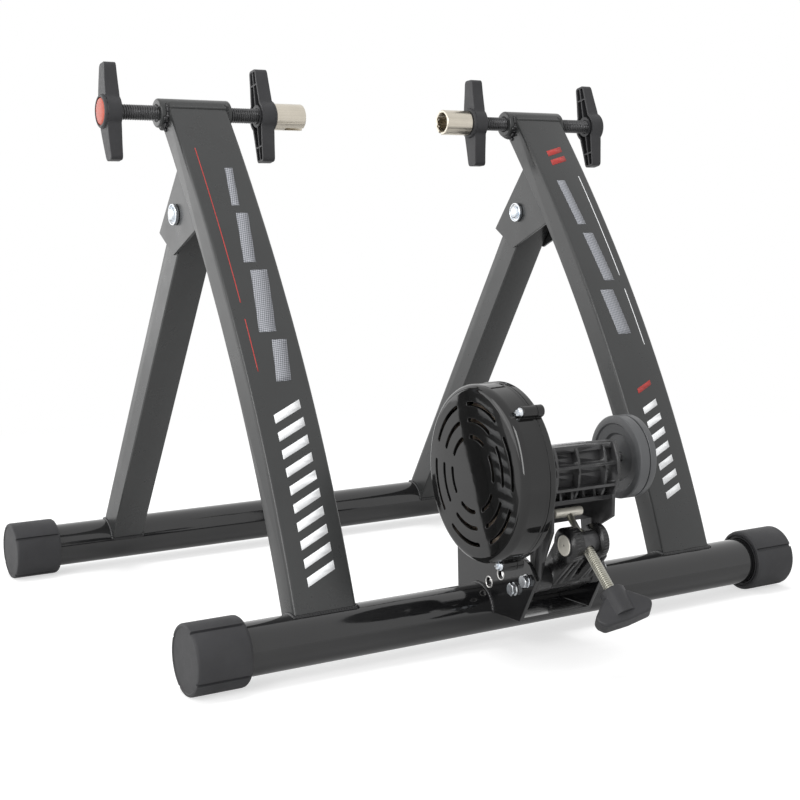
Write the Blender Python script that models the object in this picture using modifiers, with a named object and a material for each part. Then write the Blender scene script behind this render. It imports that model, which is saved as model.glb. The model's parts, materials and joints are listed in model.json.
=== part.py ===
"""A folding bicycle trainer: an A-frame on two floor tubes, with screw clamps for the rear axle
and a swinging resistance unit whose roller is pressed against the tyre.

Metres, +Z up. X runs along the floor tubes, Y from the front tube to the rear tube.
Inside the script Y is counted from the axis of the front tube, and X and Z from the middle of the
trainer and the floor; the whole is then moved along Y until the footprint's middle is the origin.
"""
import math

import bmesh
import bpy
from mathutils import Matrix, Vector

# Fits
GAP = 0.0003
SIDES = 32
FINE = 40
SMOOTH_ANGLE = math.radians(35)
MERGE = 0.000001

# Floor tubes and their caps
OVERALL_WIDTH = 0.545
TUBE_RADIUS = 0.0191
TUBE_WALL = 0.0015
CAP_RADIUS = 0.0254
CAP_LENGTH = 0.0402
CAP_FLOOR = 0.004
CAP_CHAMFER = 0.0025
REAR_TUBE_Y = 0.4305
TUBE_Z = CAP_RADIUS * math.cos(math.pi / SIDES)

# Curved uprights: the front face follows a parabola in the side view
UPRIGHT_INSET = 0.1045
UPRIGHT_X = OVERALL_WIDTH / 2 - UPRIGHT_INSET
UPRIGHT_WIDTH = 0.050
UPRIGHT_DEPTH = 0.0232
UPRIGHT_WALL = 0.002
UPRIGHT_CORNER = 0.003
UPRIGHT_STEPS = 14
CURVE_Z = 0.200
CURVE_Y = 0.0615
CURVE_SLOPE = 0.527
CURVE_BOW = 0.611

# Axle clamps
AXLE_Y = 0.2175
AXLE_Z = 0.4117
SLEEVE_RADIUS = 0.0118
SLEEVE_LENGTH = 0.0612
ROD_RADIUS = 0.00625
ROD_NOSE_RADIUS = 0.004
CUP_FACE_X = 0.0703
CUP_RADIUS = 0.0112
CUP_LENGTH = 0.0269
CUP_BORE_RADIUS = 0.0083
CUP_BORE_DEPTH = 0.0195
CUP_SLOT_WIDTH = 0.0036
CUP_SLOT_DEPTH = 0.017
HANDLE_BACK_X = 0.231
HANDLE_CAP_RADIUS = 0.0108
HANDLE_CAP_HEIGHT = 0.0008
HANDLE_CAP_SEAT = 0.0022
HUB_RADIUS = 0.014
HUB_THICKNESS = 0.014
ARM_REACH = 0.0392
ARM_TIP_WIDTH = 0.0128
ARM_ROOT_WIDTH = 0.0175
ARM_THICKNESS = 0.0115
ARM_WALL = 0.0022
POCKET_DEPTH = 0.0075
HANDLE_TILTS = {"left_handle": 7.6, "left_lock_knob": 9.1, "right_lock_knob": 3.0, "right_handle": 11.0}

# Folding rear frame
FOLD_Y = 0.2145
FOLD_Z = 0.330
LEG_WIDTH = 0.0294
LEG_DEPTH = 0.0277
LEG_WALL = 0.0018
LEG_CORNER = 0.002
LEG_TOP = 0.016
BRACKET_PLATE = 0.0025
BRACKET_ROOM = 0.0010
BRACKET_TOP_Z = 0.374
BRACKET_REAR = (0.2530, 0.3150)
BRACKET_LOW = (0.2225, 0.2968)
BRACKET_FOOT_Z = 0.3216
FOLD_BOLT_RADIUS = 0.005
FOLD_WASHER_RADIUS = 0.0088
FOLD_WASHER = 0.0030
FOLD_NUT_ACROSS = 0.0125
FOLD_NUT_HEIGHT = 0.0012
FOLD_BOLT_END = 0.0006
FOLD_HEAD_ACROSS = 0.016
FOLD_HEAD_HEIGHT = 0.0055

# Bracket that holds the resistance unit on the front tube
UNIT_X = -0.002
UNIT_BRACKET_WIDTH = 0.065
UNIT_PLATE = 0.003
UNIT_BASE_Z = 0.0255
UNIT_BACK_Y = 0.0315
UNIT_TOP_Z = 0.0745
SWING_Y = -0.0645
SWING_Z = 0.0583
LOCK_Y = -0.0482
LOCK_Z = 0.0492
SPARE_HOLE_SHIFT = 0.0345
SPARE_HOLE_DROP = 0.0015
UNIT_BOLT_RADIUS = 0.003
UNIT_BOLT_ACROSS = 0.0085
UNIT_BOLT_HEAD = 0.003
UNIT_NUT_HEIGHT = 0.005
UNIT_WASHER_RADIUS = 0.005
UNIT_WASHER = 0.001

# Carrier of the roller
ROLLER_Y = -0.060
ROLLER_Z = 0.1407
ROLLER_RADIUS = 0.015
ROLLER_LENGTH = 0.050
SHAFT_RADIUS = 0.004
CHEEK_INSIDE = 0.026
CHEEK = 0.003
EYE_RADIUS = 0.0095
CHEEK_HEAD_RADIUS = 0.0145
CHEEK_TOP_Z = 0.159
CHEEK_FRONT_Y = -0.092
CHEEK_BACK_Y = -0.082
CHEEK_BULGE = 0.0379
WEB_RADIUS = 0.030
WEB = 0.003
WEB_TOP_ANGLE = 147
WEB_LOW_ANGLE = 225
RIB_RADIUS = 0.0375
RIB = 0.002
FLANGE = 0.0032
TOP_FLANGE = 0.0048
LOW_FLANGE_Z = 0.1165
LOW_RIB_Z = 0.1265
MIDDLE_RIB_Z = 0.1430
PUSH_WALL_Y = -0.0665
PUSH_WALL_DEPTH = 0.0035
PUSH_WALL_LOW_Z = 0.0985
BEARING_RADIUS = 0.011
BEARING_WIDTH = 0.007
BOSS_RADIUS = 0.0138
RIGHT_BOSS_END = 0.045
SHAFT_CLEARANCE = 0.0006

# Housing with the eddy-current brake
HOUSING_RADIUS = 0.0648
HOUSING_FACE_X = -0.0772
HOUSING_SEAM_X = -0.0545
HOUSING_BACK_X = -0.049
HOUSING_WALL = 0.0025
HOUSING_ROUND = 0.006
FACE_RISE = 0.0012
FACE_MIDDLE_RADIUS = 0.042
BACK_WALL = 0.003
SLOT_GROUPS = 6
SLOT_ROWS = ((0.0505, 45.0), (0.0388, 44.0), (0.0270, 42.0))
SLOT_WIDTH = 0.0030
SLOT_START = -16.0
HOUSING_SCREWS = 3
SCREW_RING_RADIUS = HOUSING_RADIUS + 0.0020
SCREW_FIRST_ANGLE = 134.0
SCREW_BOSS_RADIUS = 0.0044
SCREW_BOSS_FRONT_X = -0.066
SCREW_BOSS_BACK_X = -0.0484
SCREW_RADIUS = 0.0016
SCREW_HEAD_RADIUS = 0.0034
SCREW_HEAD = 0.0020
SCREW_HEAD_ROOM = 0.0004
SCREW_TIP = 0.002
ROTOR_RADIUS = 0.052
ROTOR = 0.003
ROTOR_FACE_X = -0.0640
ROTOR_HUB_RADIUS = 0.010
ROTOR_HUB = 0.0045
ROTOR_NUT_ACROSS = 0.013
ROTOR_NUT = 0.0042
MAGNET_RING_RADIUS = 0.050
MAGNET_RING_HOLE = 0.024
MAGNET_RING = 0.0035

# Flywheel
FLYWHEEL_RADIUS = 0.0317
FLYWHEEL_FACE_X = 0.0508
FLYWHEEL = 0.0159
FLYWHEEL_GROOVE_X = 0.0568
FLYWHEEL_GROOVE = 0.0012
FLYWHEEL_EDGE = 0.0012
FLYWHEEL_DISH_RADIUS = 0.0175
FLYWHEEL_DISH = 0.004
FLYWHEEL_NUT_ACROSS = 0.016
FLYWHEEL_NUT = 0.006
SHAFT_END = 0.0015

# Adjuster: a threaded rod through a swivelling barrel nut, from the T-bar to the knob
BARREL_Y = -0.0915
BARREL_Z = 0.0873
BARREL_RADIUS = 0.008
BARREL_END = 0.0004
ADJUSTER_ANGLE = 46.7
ADJUSTER_RADIUS = 0.004
T_BAR_REACH = 0.0279
T_BAR_RADIUS = 0.0035
T_BAR_LENGTH = 0.025
T_PIN_RADIUS = 0.0017
KNOB_TOP = -0.0435
KNOB_NECK_RADIUS = 0.0095
KNOB_NECK = 0.005
KNOB_DEPTH = 0.0272
KNOB_SPAN = 0.043
KNOB_SHOULDER = 0.0170
KNOB_THICKNESS = 0.0125
KNOB_BORE = 0.014
KNOB_TURN = -20.0

# Lower mount: ribbed block between the bracket's plates
MOUNT_LEFT_X = -0.0175
MOUNT_RIGHT_X = 0.0195
EYE_CLEARANCE = 0.0005
ROD_SLOT_LEFT_X = -0.010
ROD_SLOT_RIGHT_X = 0.006
BOSS_LEFT_X = -0.0197
BOSS_RIGHT_X = 0.0115
EAR_RADIUS = 0.0128
CORE_RADIUS = 0.0088
LOCK_RADIUS = 0.0078
FIN = 0.0022
EAR_FIN_PLACES = (-0.0112, 0.0072)
FIN_PLACES = (-0.0024, 0.0126, 0.0183)
FIN_TIP = (-0.0885, 0.0745)
FIN_TIP_RADIUS = 0.002

ALONG_X = (math.pi / 2, 0, math.pi / 2)


# Scene and materials

def clear_scene():
    for thing in list(bpy.data.objects):
        bpy.data.objects.remove(thing, do_unlink=True)


def make_collection(name):
    made = bpy.data.collections.new(name)
    bpy.context.scene.collection.children.link(made)
    return made


def material(name, colour, roughness, metallic=0.0):
    made = bpy.data.materials.new(name)
    made.use_nodes = True
    shader = made.node_tree.nodes["Principled BSDF"]
    shader.inputs["Base Color"].default_value = (*colour, 1)
    shader.inputs["Roughness"].default_value = roughness
    shader.inputs["Metallic"].default_value = metallic
    made.diffuse_color = (*colour, 1)
    return made


def place(thing, collection, parent, location=(0, 0, 0), rotation=(0, 0, 0)):
    collection.objects.link(thing)
    thing.parent = parent
    thing.location = location
    thing.rotation_euler = rotation
    return thing


def empty(name, parent, location=(0, 0, 0), rotation=(0, 0, 0)):
    return place(bpy.data.objects.new(name, None), PARTS, parent, location, rotation)


def piece(name, mesh, finish, parent, location=(0, 0, 0), rotation=(0, 0, 0)):
    """One visible sub-part."""
    mesh.name = name
    mesh.materials.clear()
    mesh.materials.append(finish)
    mesh.shade_smooth()
    mesh.set_sharp_from_angle(angle=SMOOTH_ANGLE)
    return place(bpy.data.objects.new(name, mesh), PARTS, parent, location, rotation)


def helper(mesh, parent, location=(0, 0, 0), rotation=(0, 0, 0)):
    """A shape that is only cut from or joined to a piece."""
    made = place(bpy.data.objects.new("helper", mesh), HELPERS, parent, location, rotation)
    made.hide_render = True
    made.display_type = "WIRE"
    return made


def boolean(thing, other, operation):
    step = thing.modifiers.new(operation.lower(), "BOOLEAN")
    step.operation = operation
    step.object = other
    step.solver = "EXACT"


def cut(thing, other):
    boolean(thing, other, "DIFFERENCE")


def join(thing, other):
    boolean(thing, other, "UNION")


def round_edges(thing, width, segments=2):
    step = thing.modifiers.new("edges", "BEVEL")
    step.width = width
    step.segments = segments
    step.limit_method = "ANGLE"
    step.angle_limit = math.radians(50)


# Basic shapes

def cylinder_mesh(radius, low, high, sides=SIDES, turn=0.5):
    """A cylinder about local Z; turn is a share of one facet."""
    bm = bmesh.new()
    spin = Matrix.Rotation(turn * 2 * math.pi / sides, 4, "Z")
    shift = Matrix.Translation((0, 0, (low + high) / 2))
    bmesh.ops.create_cone(bm, cap_ends=True, segments=sides, radius1=radius, radius2=radius,
                          depth=high - low, matrix=shift @ spin)
    return finished(bm)


def hexagon_mesh(across, low, high):
    return cylinder_mesh(across / math.sqrt(3), low, high, sides=6)


def box_mesh(size, centre=(0, 0, 0)):
    bm = bmesh.new()
    bmesh.ops.create_cube(bm, size=1, matrix=Matrix.Translation(centre) @ Matrix.Diagonal((*size, 1)))
    return finished(bm)


def finished(bm):
    bmesh.ops.recalc_face_normals(bm, faces=bm.faces)
    mesh = bpy.data.meshes.new("mesh")
    bm.to_mesh(mesh)
    bm.free()
    return mesh


def turned(thing_profile, steps=SIDES, closed=True, turn=0.5):
    """A profile of (radius, height) pairs turned about local Z, down its outer side first."""
    angle = turn * 2 * math.pi / steps
    bm = bmesh.new()
    corners = [bm.verts.new((r * math.cos(angle), r * math.sin(angle), z)) for r, z in thing_profile]
    for first, second in zip(corners, corners[1:]):
        bm.edges.new((first, second))
    if closed:
        bm.edges.new((corners[-1], corners[0]))
    mesh = bpy.data.meshes.new("profile")
    bm.to_mesh(mesh)
    bm.free()
    guide = place(bpy.data.objects.new("guide", mesh), HELPERS, None)
    spin = guide.modifiers.new("turn", "SCREW")
    spin.axis = "Z"
    spin.steps = steps
    spin.render_steps = steps
    spin.use_merge_vertices = True
    spin.merge_threshold = 0.00001
    return mesh_from(guide)


def mesh_from(guide):
    """The guide's evaluated shape as a closed mesh; the guide is removed."""
    bpy.context.view_layer.update()
    seen = guide.evaluated_get(bpy.context.evaluated_depsgraph_get())
    made = bpy.data.meshes.new_from_object(seen)
    bpy.data.objects.remove(guide)
    bm = bmesh.new()
    bm.from_mesh(made)
    bmesh.ops.remove_doubles(bm, verts=bm.verts, dist=MERGE)
    bmesh.ops.dissolve_limit(bm, angle_limit=math.radians(0.2), verts=bm.verts, edges=bm.edges)
    bm.to_mesh(made)
    bm.free()
    return made


def flat(outline, thickness, holes=()):
    """A flat outline in local XY, as thick as given about its middle plane."""
    curve = bpy.data.curves.new("outline", "CURVE")
    curve.dimensions = "2D"
    curve.fill_mode = "BOTH"
    curve.extrude = thickness / 2
    for loop in (outline, *holes):
        spline = curve.splines.new("POLY")
        spline.points.add(len(loop) - 1)
        for point, (x, y) in zip(spline.points, loop):
            point.co = (x, y, 0, 1)
        spline.use_cyclic_u = True
    return mesh_from(place(bpy.data.objects.new("guide", curve), HELPERS, None))


def arc(centre, radius, start, end, count):
    """Points on a circle from one angle to another, in degrees from +Y towards +Z in the side view."""
    angles = [math.radians(start + (end - start) * i / count) for i in range(count + 1)]
    return [(centre[0] + radius * math.cos(a), centre[1] + radius * math.sin(a)) for a in angles]


def around(*circles):
    """The outline of a belt laid round circles given as (y, z, radius)."""
    points = sorted(p for y, z, r in circles for p in arc((y, z), r, 0, 345, 23))
    halves = []
    for run in (points, points[::-1]):
        half = []
        for p in run:
            while len(half) > 1 and turns_right(half[-2], half[-1], p):
                half.pop()
            half.append(p)
        halves += half[:-1]
    return halves


def turns_right(a, b, c):
    return (b[0] - a[0]) * (c[1] - a[1]) - (b[1] - a[1]) * (c[0] - a[0]) <= 1e-12


def side_view(outline, left, right, **extra):
    """An outline in the side view (Y, Z) with the X where it starts and ends, as mesh and location."""
    return flat(outline, right - left, **extra), ((left + right) / 2, 0, 0)


def side_helper(outline, left, right, parent):
    mesh, location = side_view(outline, left, right)
    return helper(mesh, parent, location, ALONG_X)


def side_piece(name, outline, left, right, finish, parent):
    mesh, location = side_view(outline, left, right)
    return piece(name, mesh, finish, parent, location, ALONG_X)


def rod_helper(radius, left, right, parent, y, z, sides=SIDES):
    """A cylinder along X between two X places."""
    return helper(cylinder_mesh(radius, left, right, sides), parent, (0, y, z), ALONG_X)


# Curve of the uprights in the side view

def front_y(z):
    return CURVE_Y + CURVE_SLOPE * (z - CURVE_Z) + CURVE_BOW * (z - CURVE_Z) ** 2


def behind_front(z, depth):
    """The point that lies so deep behind the front face, square to it, from height z."""
    slope = CURVE_SLOPE + 2 * CURVE_BOW * (z - CURVE_Z)
    length = math.hypot(slope, 1)
    return front_y(z) + depth / length, z - depth * slope / length


def depth_band(low, high, front, back):
    """An outline between two depths behind the front face."""
    heights = [low + (high - low) * i / UPRIGHT_STEPS for i in range(UPRIGHT_STEPS + 1)]
    return ([behind_front(z, front) for z in heights]
            + [behind_front(z, back) for z in reversed(heights)])


def head_height():
    """The height on the front face that lies square in front of the axle."""
    z = AXLE_Z
    for _ in range(20):
        slope = CURVE_SLOPE + 2 * CURVE_BOW * (z - CURVE_Z)
        z += ((AXLE_Y - front_y(z)) * slope + AXLE_Z - z) / (1 + slope ** 2)
    return z


def rear_face(z):
    """The Y of an upright's rear face at a height."""
    height = z
    for _ in range(20):
        y, there = behind_front(height, UPRIGHT_DEPTH)
        height += z - there
    return y, height


# Base tubes and caps

def make_tube(name, y, parent):
    half = OVERALL_WIDTH / 2 - CAP_FLOOR - GAP
    inside = TUBE_RADIUS - TUBE_WALL
    profile = [(TUBE_RADIUS, half), (TUBE_RADIUS, -half), (inside, -half), (inside, half)]
    return piece(name, turned(profile), STEEL_GLOSS, parent, (0, y, TUBE_Z), ALONG_X)


def make_cap(name, side, y, parent):
    """A cap that is pushed over the tube's end and rests on the floor on its lowest facet."""
    end = OVERALL_WIDTH / 2
    mouth = end - CAP_LENGTH
    bore = TUBE_RADIUS + GAP
    profile = [(0, end), (CAP_RADIUS - CAP_CHAMFER, end), (CAP_RADIUS, end - CAP_CHAMFER),
               (CAP_RADIUS, mouth + CAP_CHAMFER / 2), (CAP_RADIUS - CAP_CHAMFER / 2, mouth), (bore, mouth),
               (bore, end - CAP_FLOOR), (0, end - CAP_FLOOR)]
    turn = (math.pi / 2, 0, math.pi / 2 if side > 0 else -math.pi / 2)
    return piece(name, turned(profile, closed=False), RUBBER, parent, (0, y, TUBE_Z), turn)


def tube_cutter(y, parent, extra=GAP):
    return rod_helper(TUBE_RADIUS + extra, -OVERALL_WIDTH / 2, OVERALL_WIDTH / 2, parent, y, TUBE_Z)


# Uprights with their sleeves and fold brackets

def make_upright(name, x, parent):
    low = TUBE_Z - TUBE_RADIUS * 0.45
    high = head_height()
    thing = side_piece(name, depth_band(low, high, 0, UPRIGHT_DEPTH), x - UPRIGHT_WIDTH / 2,
                       x + UPRIGHT_WIDTH / 2, STEEL_SATIN, parent)
    round_edges(thing, UPRIGHT_CORNER)
    inner = depth_band(low - UPRIGHT_DEPTH, high + UPRIGHT_DEPTH, UPRIGHT_WALL, UPRIGHT_DEPTH - UPRIGHT_WALL)
    half = UPRIGHT_WIDTH / 2 - UPRIGHT_WALL
    cut(thing, side_helper(inner, x - half, x + half, parent))
    cut(thing, tube_cutter(0, parent))
    cut(thing, rod_helper(SLEEVE_RADIUS + GAP, x - UPRIGHT_WIDTH, x + UPRIGHT_WIDTH, parent, AXLE_Y, AXLE_Z))
    return thing


def make_sleeve(name, x, parent):
    half = SLEEVE_LENGTH / 2
    edge = 0.001
    bore = ROD_RADIUS + GAP
    profile = [(SLEEVE_RADIUS - edge, half), (SLEEVE_RADIUS, half - edge), (SLEEVE_RADIUS, edge - half),
               (SLEEVE_RADIUS - edge, -half), (bore, -half), (bore, half)]
    return piece(name, turned(profile), STEEL_SATIN, parent, (x, AXLE_Y, AXLE_Z), ALONG_X)


def bracket_outline(web):
    """The side of a fold bracket, from the upright's rear face plus a web's depth."""
    top = rear_face(BRACKET_TOP_Z)[1]
    foot = rear_face(BRACKET_FOOT_Z)[1]
    front = [behind_front(foot + (top - foot) * i / 4, UPRIGHT_DEPTH + GAP + web) for i in range(5)]
    return front, [BRACKET_REAR, BRACKET_LOW]


def make_fold_bracket(name, x, parent):
    """A U of sheet steel on the upright's rear face that takes the leg between its plates."""
    room = LEG_WIDTH / 2 + BRACKET_ROOM
    half = room + BRACKET_PLATE
    front, rear = bracket_outline(0)
    thing = side_piece(name, front + rear, x - half, x + half, STEEL_SATIN, parent)
    inner, _ = bracket_outline(BRACKET_PLATE)
    far = BRACKET_REAR[0] + LEG_DEPTH
    opening = ([(inner[0][0] - LEG_DEPTH, inner[0][1] - 2 * LEG_DEPTH)] + inner
               + [(inner[-1][0] + LEG_DEPTH / 4, inner[-1][1] + LEG_DEPTH)]
               + [(far, inner[-1][1] + LEG_DEPTH), (far, inner[0][1] - 2 * LEG_DEPTH)])
    cut(thing, side_helper(opening, x - room, x + room, parent))
    cut(thing, rod_helper(FOLD_BOLT_RADIUS + GAP, x - 2 * half, x + 2 * half, parent, FOLD_Y, FOLD_Z, 16))
    return thing


def make_fold_bolt(side_name, x, parent):
    """A hexagon bolt with its flange nut, along X through the bracket and the leg."""
    face = LEG_WIDTH / 2 + BRACKET_ROOM + BRACKET_PLATE + GAP
    nut_end = -face - FOLD_WASHER - FOLD_NUT_HEIGHT
    bolt = piece(side_name + "_fold_bolt",
                 cylinder_mesh(FOLD_BOLT_RADIUS, nut_end - FOLD_BOLT_END, face + FOLD_HEAD_HEIGHT / 2, 16),
                 ZINC, parent, (x, FOLD_Y, FOLD_Z), ALONG_X)
    join(bolt, helper(hexagon_mesh(FOLD_HEAD_ACROSS, face, face + FOLD_HEAD_HEIGHT), parent,
                      (x, FOLD_Y, FOLD_Z), ALONG_X))
    nut = piece(side_name + "_fold_nut", cylinder_mesh(FOLD_WASHER_RADIUS, -face - FOLD_WASHER, -face, 24),
                ZINC, parent, (x, FOLD_Y, FOLD_Z), ALONG_X)
    join(nut, helper(hexagon_mesh(FOLD_NUT_ACROSS, nut_end, -face - FOLD_WASHER / 2), parent,
                     (x, FOLD_Y, FOLD_Z), ALONG_X))
    cut(nut, helper(cylinder_mesh(FOLD_BOLT_RADIUS + GAP, -0.1, 0.1, 16), parent, (x, FOLD_Y, FOLD_Z), ALONG_X))


# Rear frame, about its fold axis

def make_leg(name, x, parent):
    """A straight rectangular tube from the fold axis down to the rear tube."""
    down = Vector((REAR_TUBE_Y - FOLD_Y, TUBE_Z - FOLD_Z))
    lean = math.atan2(down.x, -down.y)
    turn = (lean, 0, 0)
    length = down.length + LEG_TOP
    middle = (LEG_TOP - down.length) / 2
    thing = piece(name, box_mesh((LEG_WIDTH, LEG_DEPTH, length), (0, 0, middle)), STEEL_SATIN, parent,
                  (x, 0, 0), turn)
    round_edges(thing, LEG_CORNER)
    inner = box_mesh((LEG_WIDTH - 2 * LEG_WALL, LEG_DEPTH - 2 * LEG_WALL, 2 * length), (0, 0, middle))
    cut(thing, helper(inner, parent, (x, 0, 0), turn))
    cut(thing, tube_cutter(REAR_TUBE_Y - FOLD_Y, parent_at_floor(parent)))
    cut(thing, helper(cylinder_mesh(FOLD_BOLT_RADIUS + GAP, -LEG_WIDTH, LEG_WIDTH, 16), parent,
                      (x, 0, 0), ALONG_X))
    return thing


def parent_at_floor(parent):
    """An empty on the floor below the fold axis, so that rear pieces can use heights from the floor."""
    return empty("rear_floor", parent, (0, 0, -FOLD_Z))


# Axle clamps

def handle_outline():
    """One arm pair with its hub, in the handle's own plane, arms along local Y."""
    root = ARM_ROOT_WIDTH / 2
    tip = ARM_TIP_WIDTH / 2
    waist = HUB_RADIUS * 0.86
    rounding = 0.003
    quarter = [(root * 1.04, waist * 1.15), (root * 0.86, ARM_REACH * 0.62), (tip, ARM_REACH - rounding)]
    corner = arc((tip - rounding, ARM_REACH - rounding), rounding, 0, 90, 3)
    hub = [(HUB_RADIUS * math.cos(math.radians(a)), HUB_RADIUS * math.sin(math.radians(a)))
           for a in (0, 15, 30, 45)]
    right = hub + quarter + corner[1:]
    upper = right + [(-x, y) for x, y in reversed(right)]
    lower = [(-x, -y) for x, y in upper[1:-1]]
    return upper + lower


def pocket_outlines():
    """The hollows in the back of both arms, with a rib across each arm."""
    tip = ARM_TIP_WIDTH / 2 - ARM_WALL
    start = HUB_RADIUS + 0.0005
    middle = (start + ARM_REACH) / 2
    end = ARM_REACH - ARM_WALL
    rib = 0.0008
    pockets = []
    for low, high in ((start, middle - rib), (middle + rib, end)):
        for way in (1, -1):
            for hand in (1, -1):
                pockets.append([(hand * rib, way * low), (hand * tip, way * low), (hand * tip, way * high),
                                (hand * rib, way * high)])
    return pockets


def make_handle(name, back_x, side, parent, bore):
    """A two-armed hand screw; its flat back has pockets and looks towards the sleeve.

    side is the way its front looks along X; bore is how deep its hole goes from the back.
    """
    tilt = math.radians(HANDLE_TILTS[name])
    turn = (math.pi / 2, 0, side * math.pi / 2)
    spin = empty(name + "_place", parent, (back_x, 0, 0), (-tilt, 0, 0))
    thing = piece(name, flat(handle_outline(), ARM_THICKNESS), PLASTIC, spin,
                  (side * ARM_THICKNESS / 2, 0, 0), turn)
    round_edges(thing, 0.0014, 1)
    join(thing, helper(cylinder_mesh(HUB_RADIUS - 0.0006, 0.0005, HUB_THICKNESS, SIDES), spin, (0, 0, 0), turn))
    for outline in pocket_outlines():
        cut(thing, helper(flat(outline, 2 * POCKET_DEPTH), spin, (0, 0, 0), turn))
    cut(thing, helper(cylinder_mesh(ROD_RADIUS + GAP, -0.01, bore, 24), spin, (0, 0, 0), turn))
    return thing


def make_rod(name, side, parent):
    """The threaded rod from the handle to the nose that carries the cup."""
    nose = CUP_FACE_X + CUP_BORE_DEPTH + GAP
    shoulder = CUP_FACE_X + CUP_LENGTH + GAP
    end = HANDLE_BACK_X + HUB_THICKNESS * 0.6
    profile = [(0, end), (ROD_RADIUS - 0.0008, end), (ROD_RADIUS, end - 0.0008), (ROD_RADIUS, shoulder),
               (ROD_NOSE_RADIUS, shoulder), (ROD_NOSE_RADIUS, nose), (0, nose)]
    turn = (math.pi / 2, 0, side * math.pi / 2)
    return piece(name, turned(profile, 24, closed=False), STEEL_BLACK, parent, (0, 0, 0), turn)


def make_cup(name, side, parent):
    """The cup that takes the axle nut, slotted along one side."""
    back = CUP_FACE_X + CUP_LENGTH
    floor = CUP_FACE_X + CUP_BORE_DEPTH
    edge = 0.0008
    hole = ROD_NOSE_RADIUS + GAP
    profile = [(CUP_RADIUS, back), (CUP_RADIUS, CUP_FACE_X + edge), (CUP_RADIUS - edge, CUP_FACE_X),
               (CUP_BORE_RADIUS, CUP_FACE_X), (CUP_BORE_RADIUS, floor), (hole, floor), (hole, back)]
    turn = (math.pi / 2, 0, side * math.pi / 2)
    thing = piece(name, turned(profile), NICKEL, parent, (0, 0, 0), turn)
    slot = box_mesh((CUP_SLOT_WIDTH, 2 * CUP_RADIUS, 2 * CUP_SLOT_DEPTH), (0, -CUP_RADIUS, CUP_FACE_X))
    cut(thing, helper(slot, parent, (0, 0, 0), turn))
    return thing


def make_clamp(side_name, side, root):
    """One side's cup, rod, outer handle and lock knob, all on the axle's line."""
    axis = empty(side_name + "_clamp_axis", root, (0, AXLE_Y, AXLE_Z))
    make_cup(side_name + "_axle_cup", side, axis)
    make_rod(side_name + "_rod", side, axis)
    knob_back = side * (CUP_FACE_X + CUP_LENGTH + GAP + HUB_THICKNESS)
    make_handle(side_name + "_lock_knob", knob_back, -side, axis, HUB_THICKNESS * 2)
    make_handle(side_name + "_handle", side * HANDLE_BACK_X, side, axis, HUB_THICKNESS * 0.6 + GAP)
    seat = HANDLE_BACK_X + HUB_THICKNESS
    turn = (math.pi / 2, 0, side * math.pi / 2)
    handle = PARTS.objects[side_name + "_handle"]
    cut(handle, helper(cylinder_mesh(HANDLE_CAP_RADIUS + GAP, seat - HANDLE_CAP_SEAT - GAP, seat + 0.01, 24),
                       axis, (0, 0, 0), turn))
    piece(side_name + "_handle_cap",
          cylinder_mesh(HANDLE_CAP_RADIUS, seat - HANDLE_CAP_SEAT, seat + HANDLE_CAP_HEIGHT, 24),
          RED, axis, (0, 0, 0), turn)


# Resistance unit: bracket, mount and bolts

def make_unit_bracket(root):
    """A U of sheet steel welded to the front tube, open to the top and the front."""
    half = UNIT_BRACKET_WIDTH / 2
    outline = [(-0.012, UNIT_BASE_Z), (-0.0544, UNIT_BASE_Z), (-0.0765, 0.0599), (-0.0690, 0.0705),
               (-0.0605, UNIT_TOP_Z), (UNIT_BACK_Y - 0.004, UNIT_TOP_Z), (UNIT_BACK_Y, 0.0705),
               (UNIT_BACK_Y, 0.0335), (0.010, 0.0320)]
    thing = side_piece("unit_bracket", outline, UNIT_X - half, UNIT_X + half, STEEL_GLOSS, root)
    inside = half - UNIT_PLATE
    top = UNIT_BASE_Z + UNIT_PLATE
    beyond = 2 * UNIT_BACK_Y
    opening = [(-0.100, top), (beyond, top), (beyond, 0.100), (-0.100, 0.100)]
    cut(thing, side_helper(opening, UNIT_X - inside, UNIT_X + inside, root))
    shorter = [(-0.0400, 0.0735), (-0.0220, 0.0640), (-0.0050, 0.0492), (0.0, 0.040), (0.0, 0.015),
               (beyond, 0.015), (beyond, 0.100), (-0.0500, 0.100), (-0.0500, 0.0738)]
    cut(thing, side_helper(shorter, UNIT_X, UNIT_X + 2 * half, root))
    cut(thing, tube_cutter(0, root))
    for y, z in ((SWING_Y, SWING_Z), (LOCK_Y, LOCK_Z)):
        for shift, drop in ((0, 0), (SPARE_HOLE_SHIFT, SPARE_HOLE_DROP)):
            cut(thing, rod_helper(UNIT_BOLT_RADIUS + GAP, UNIT_X - 2 * half, UNIT_X + 2 * half, root,
                                  y + shift, z - drop, 16))


def make_unit_bolt(name, y, z, root):
    """A hexagon bolt along X through both plates, with its nut on the right."""
    left = UNIT_X - UNIT_BRACKET_WIDTH / 2 - GAP
    right = UNIT_X + UNIT_BRACKET_WIDTH / 2 + GAP
    bolt = piece(name + "_bolt", cylinder_mesh(UNIT_BOLT_RADIUS, left - UNIT_BOLT_HEAD / 2,
                                               right + UNIT_NUT_HEIGHT + 0.001, 16),
                 ZINC, root, (0, y, z), ALONG_X)
    join(bolt, helper(hexagon_mesh(UNIT_BOLT_ACROSS, left - UNIT_WASHER - UNIT_BOLT_HEAD, left - UNIT_WASHER / 2),
                      root, (0, y, z), ALONG_X))
    join(bolt, helper(cylinder_mesh(UNIT_WASHER_RADIUS, left - UNIT_WASHER, left, 24), root, (0, y, z), ALONG_X))
    nut = piece(name + "_nut", hexagon_mesh(UNIT_BOLT_ACROSS, right, right + UNIT_NUT_HEIGHT), ZINC, root,
                (0, y, z), ALONG_X)
    cut(nut, helper(cylinder_mesh(UNIT_BOLT_RADIUS + GAP, -0.1, 0.1, 16), root, (0, y, z), ALONG_X))


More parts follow.
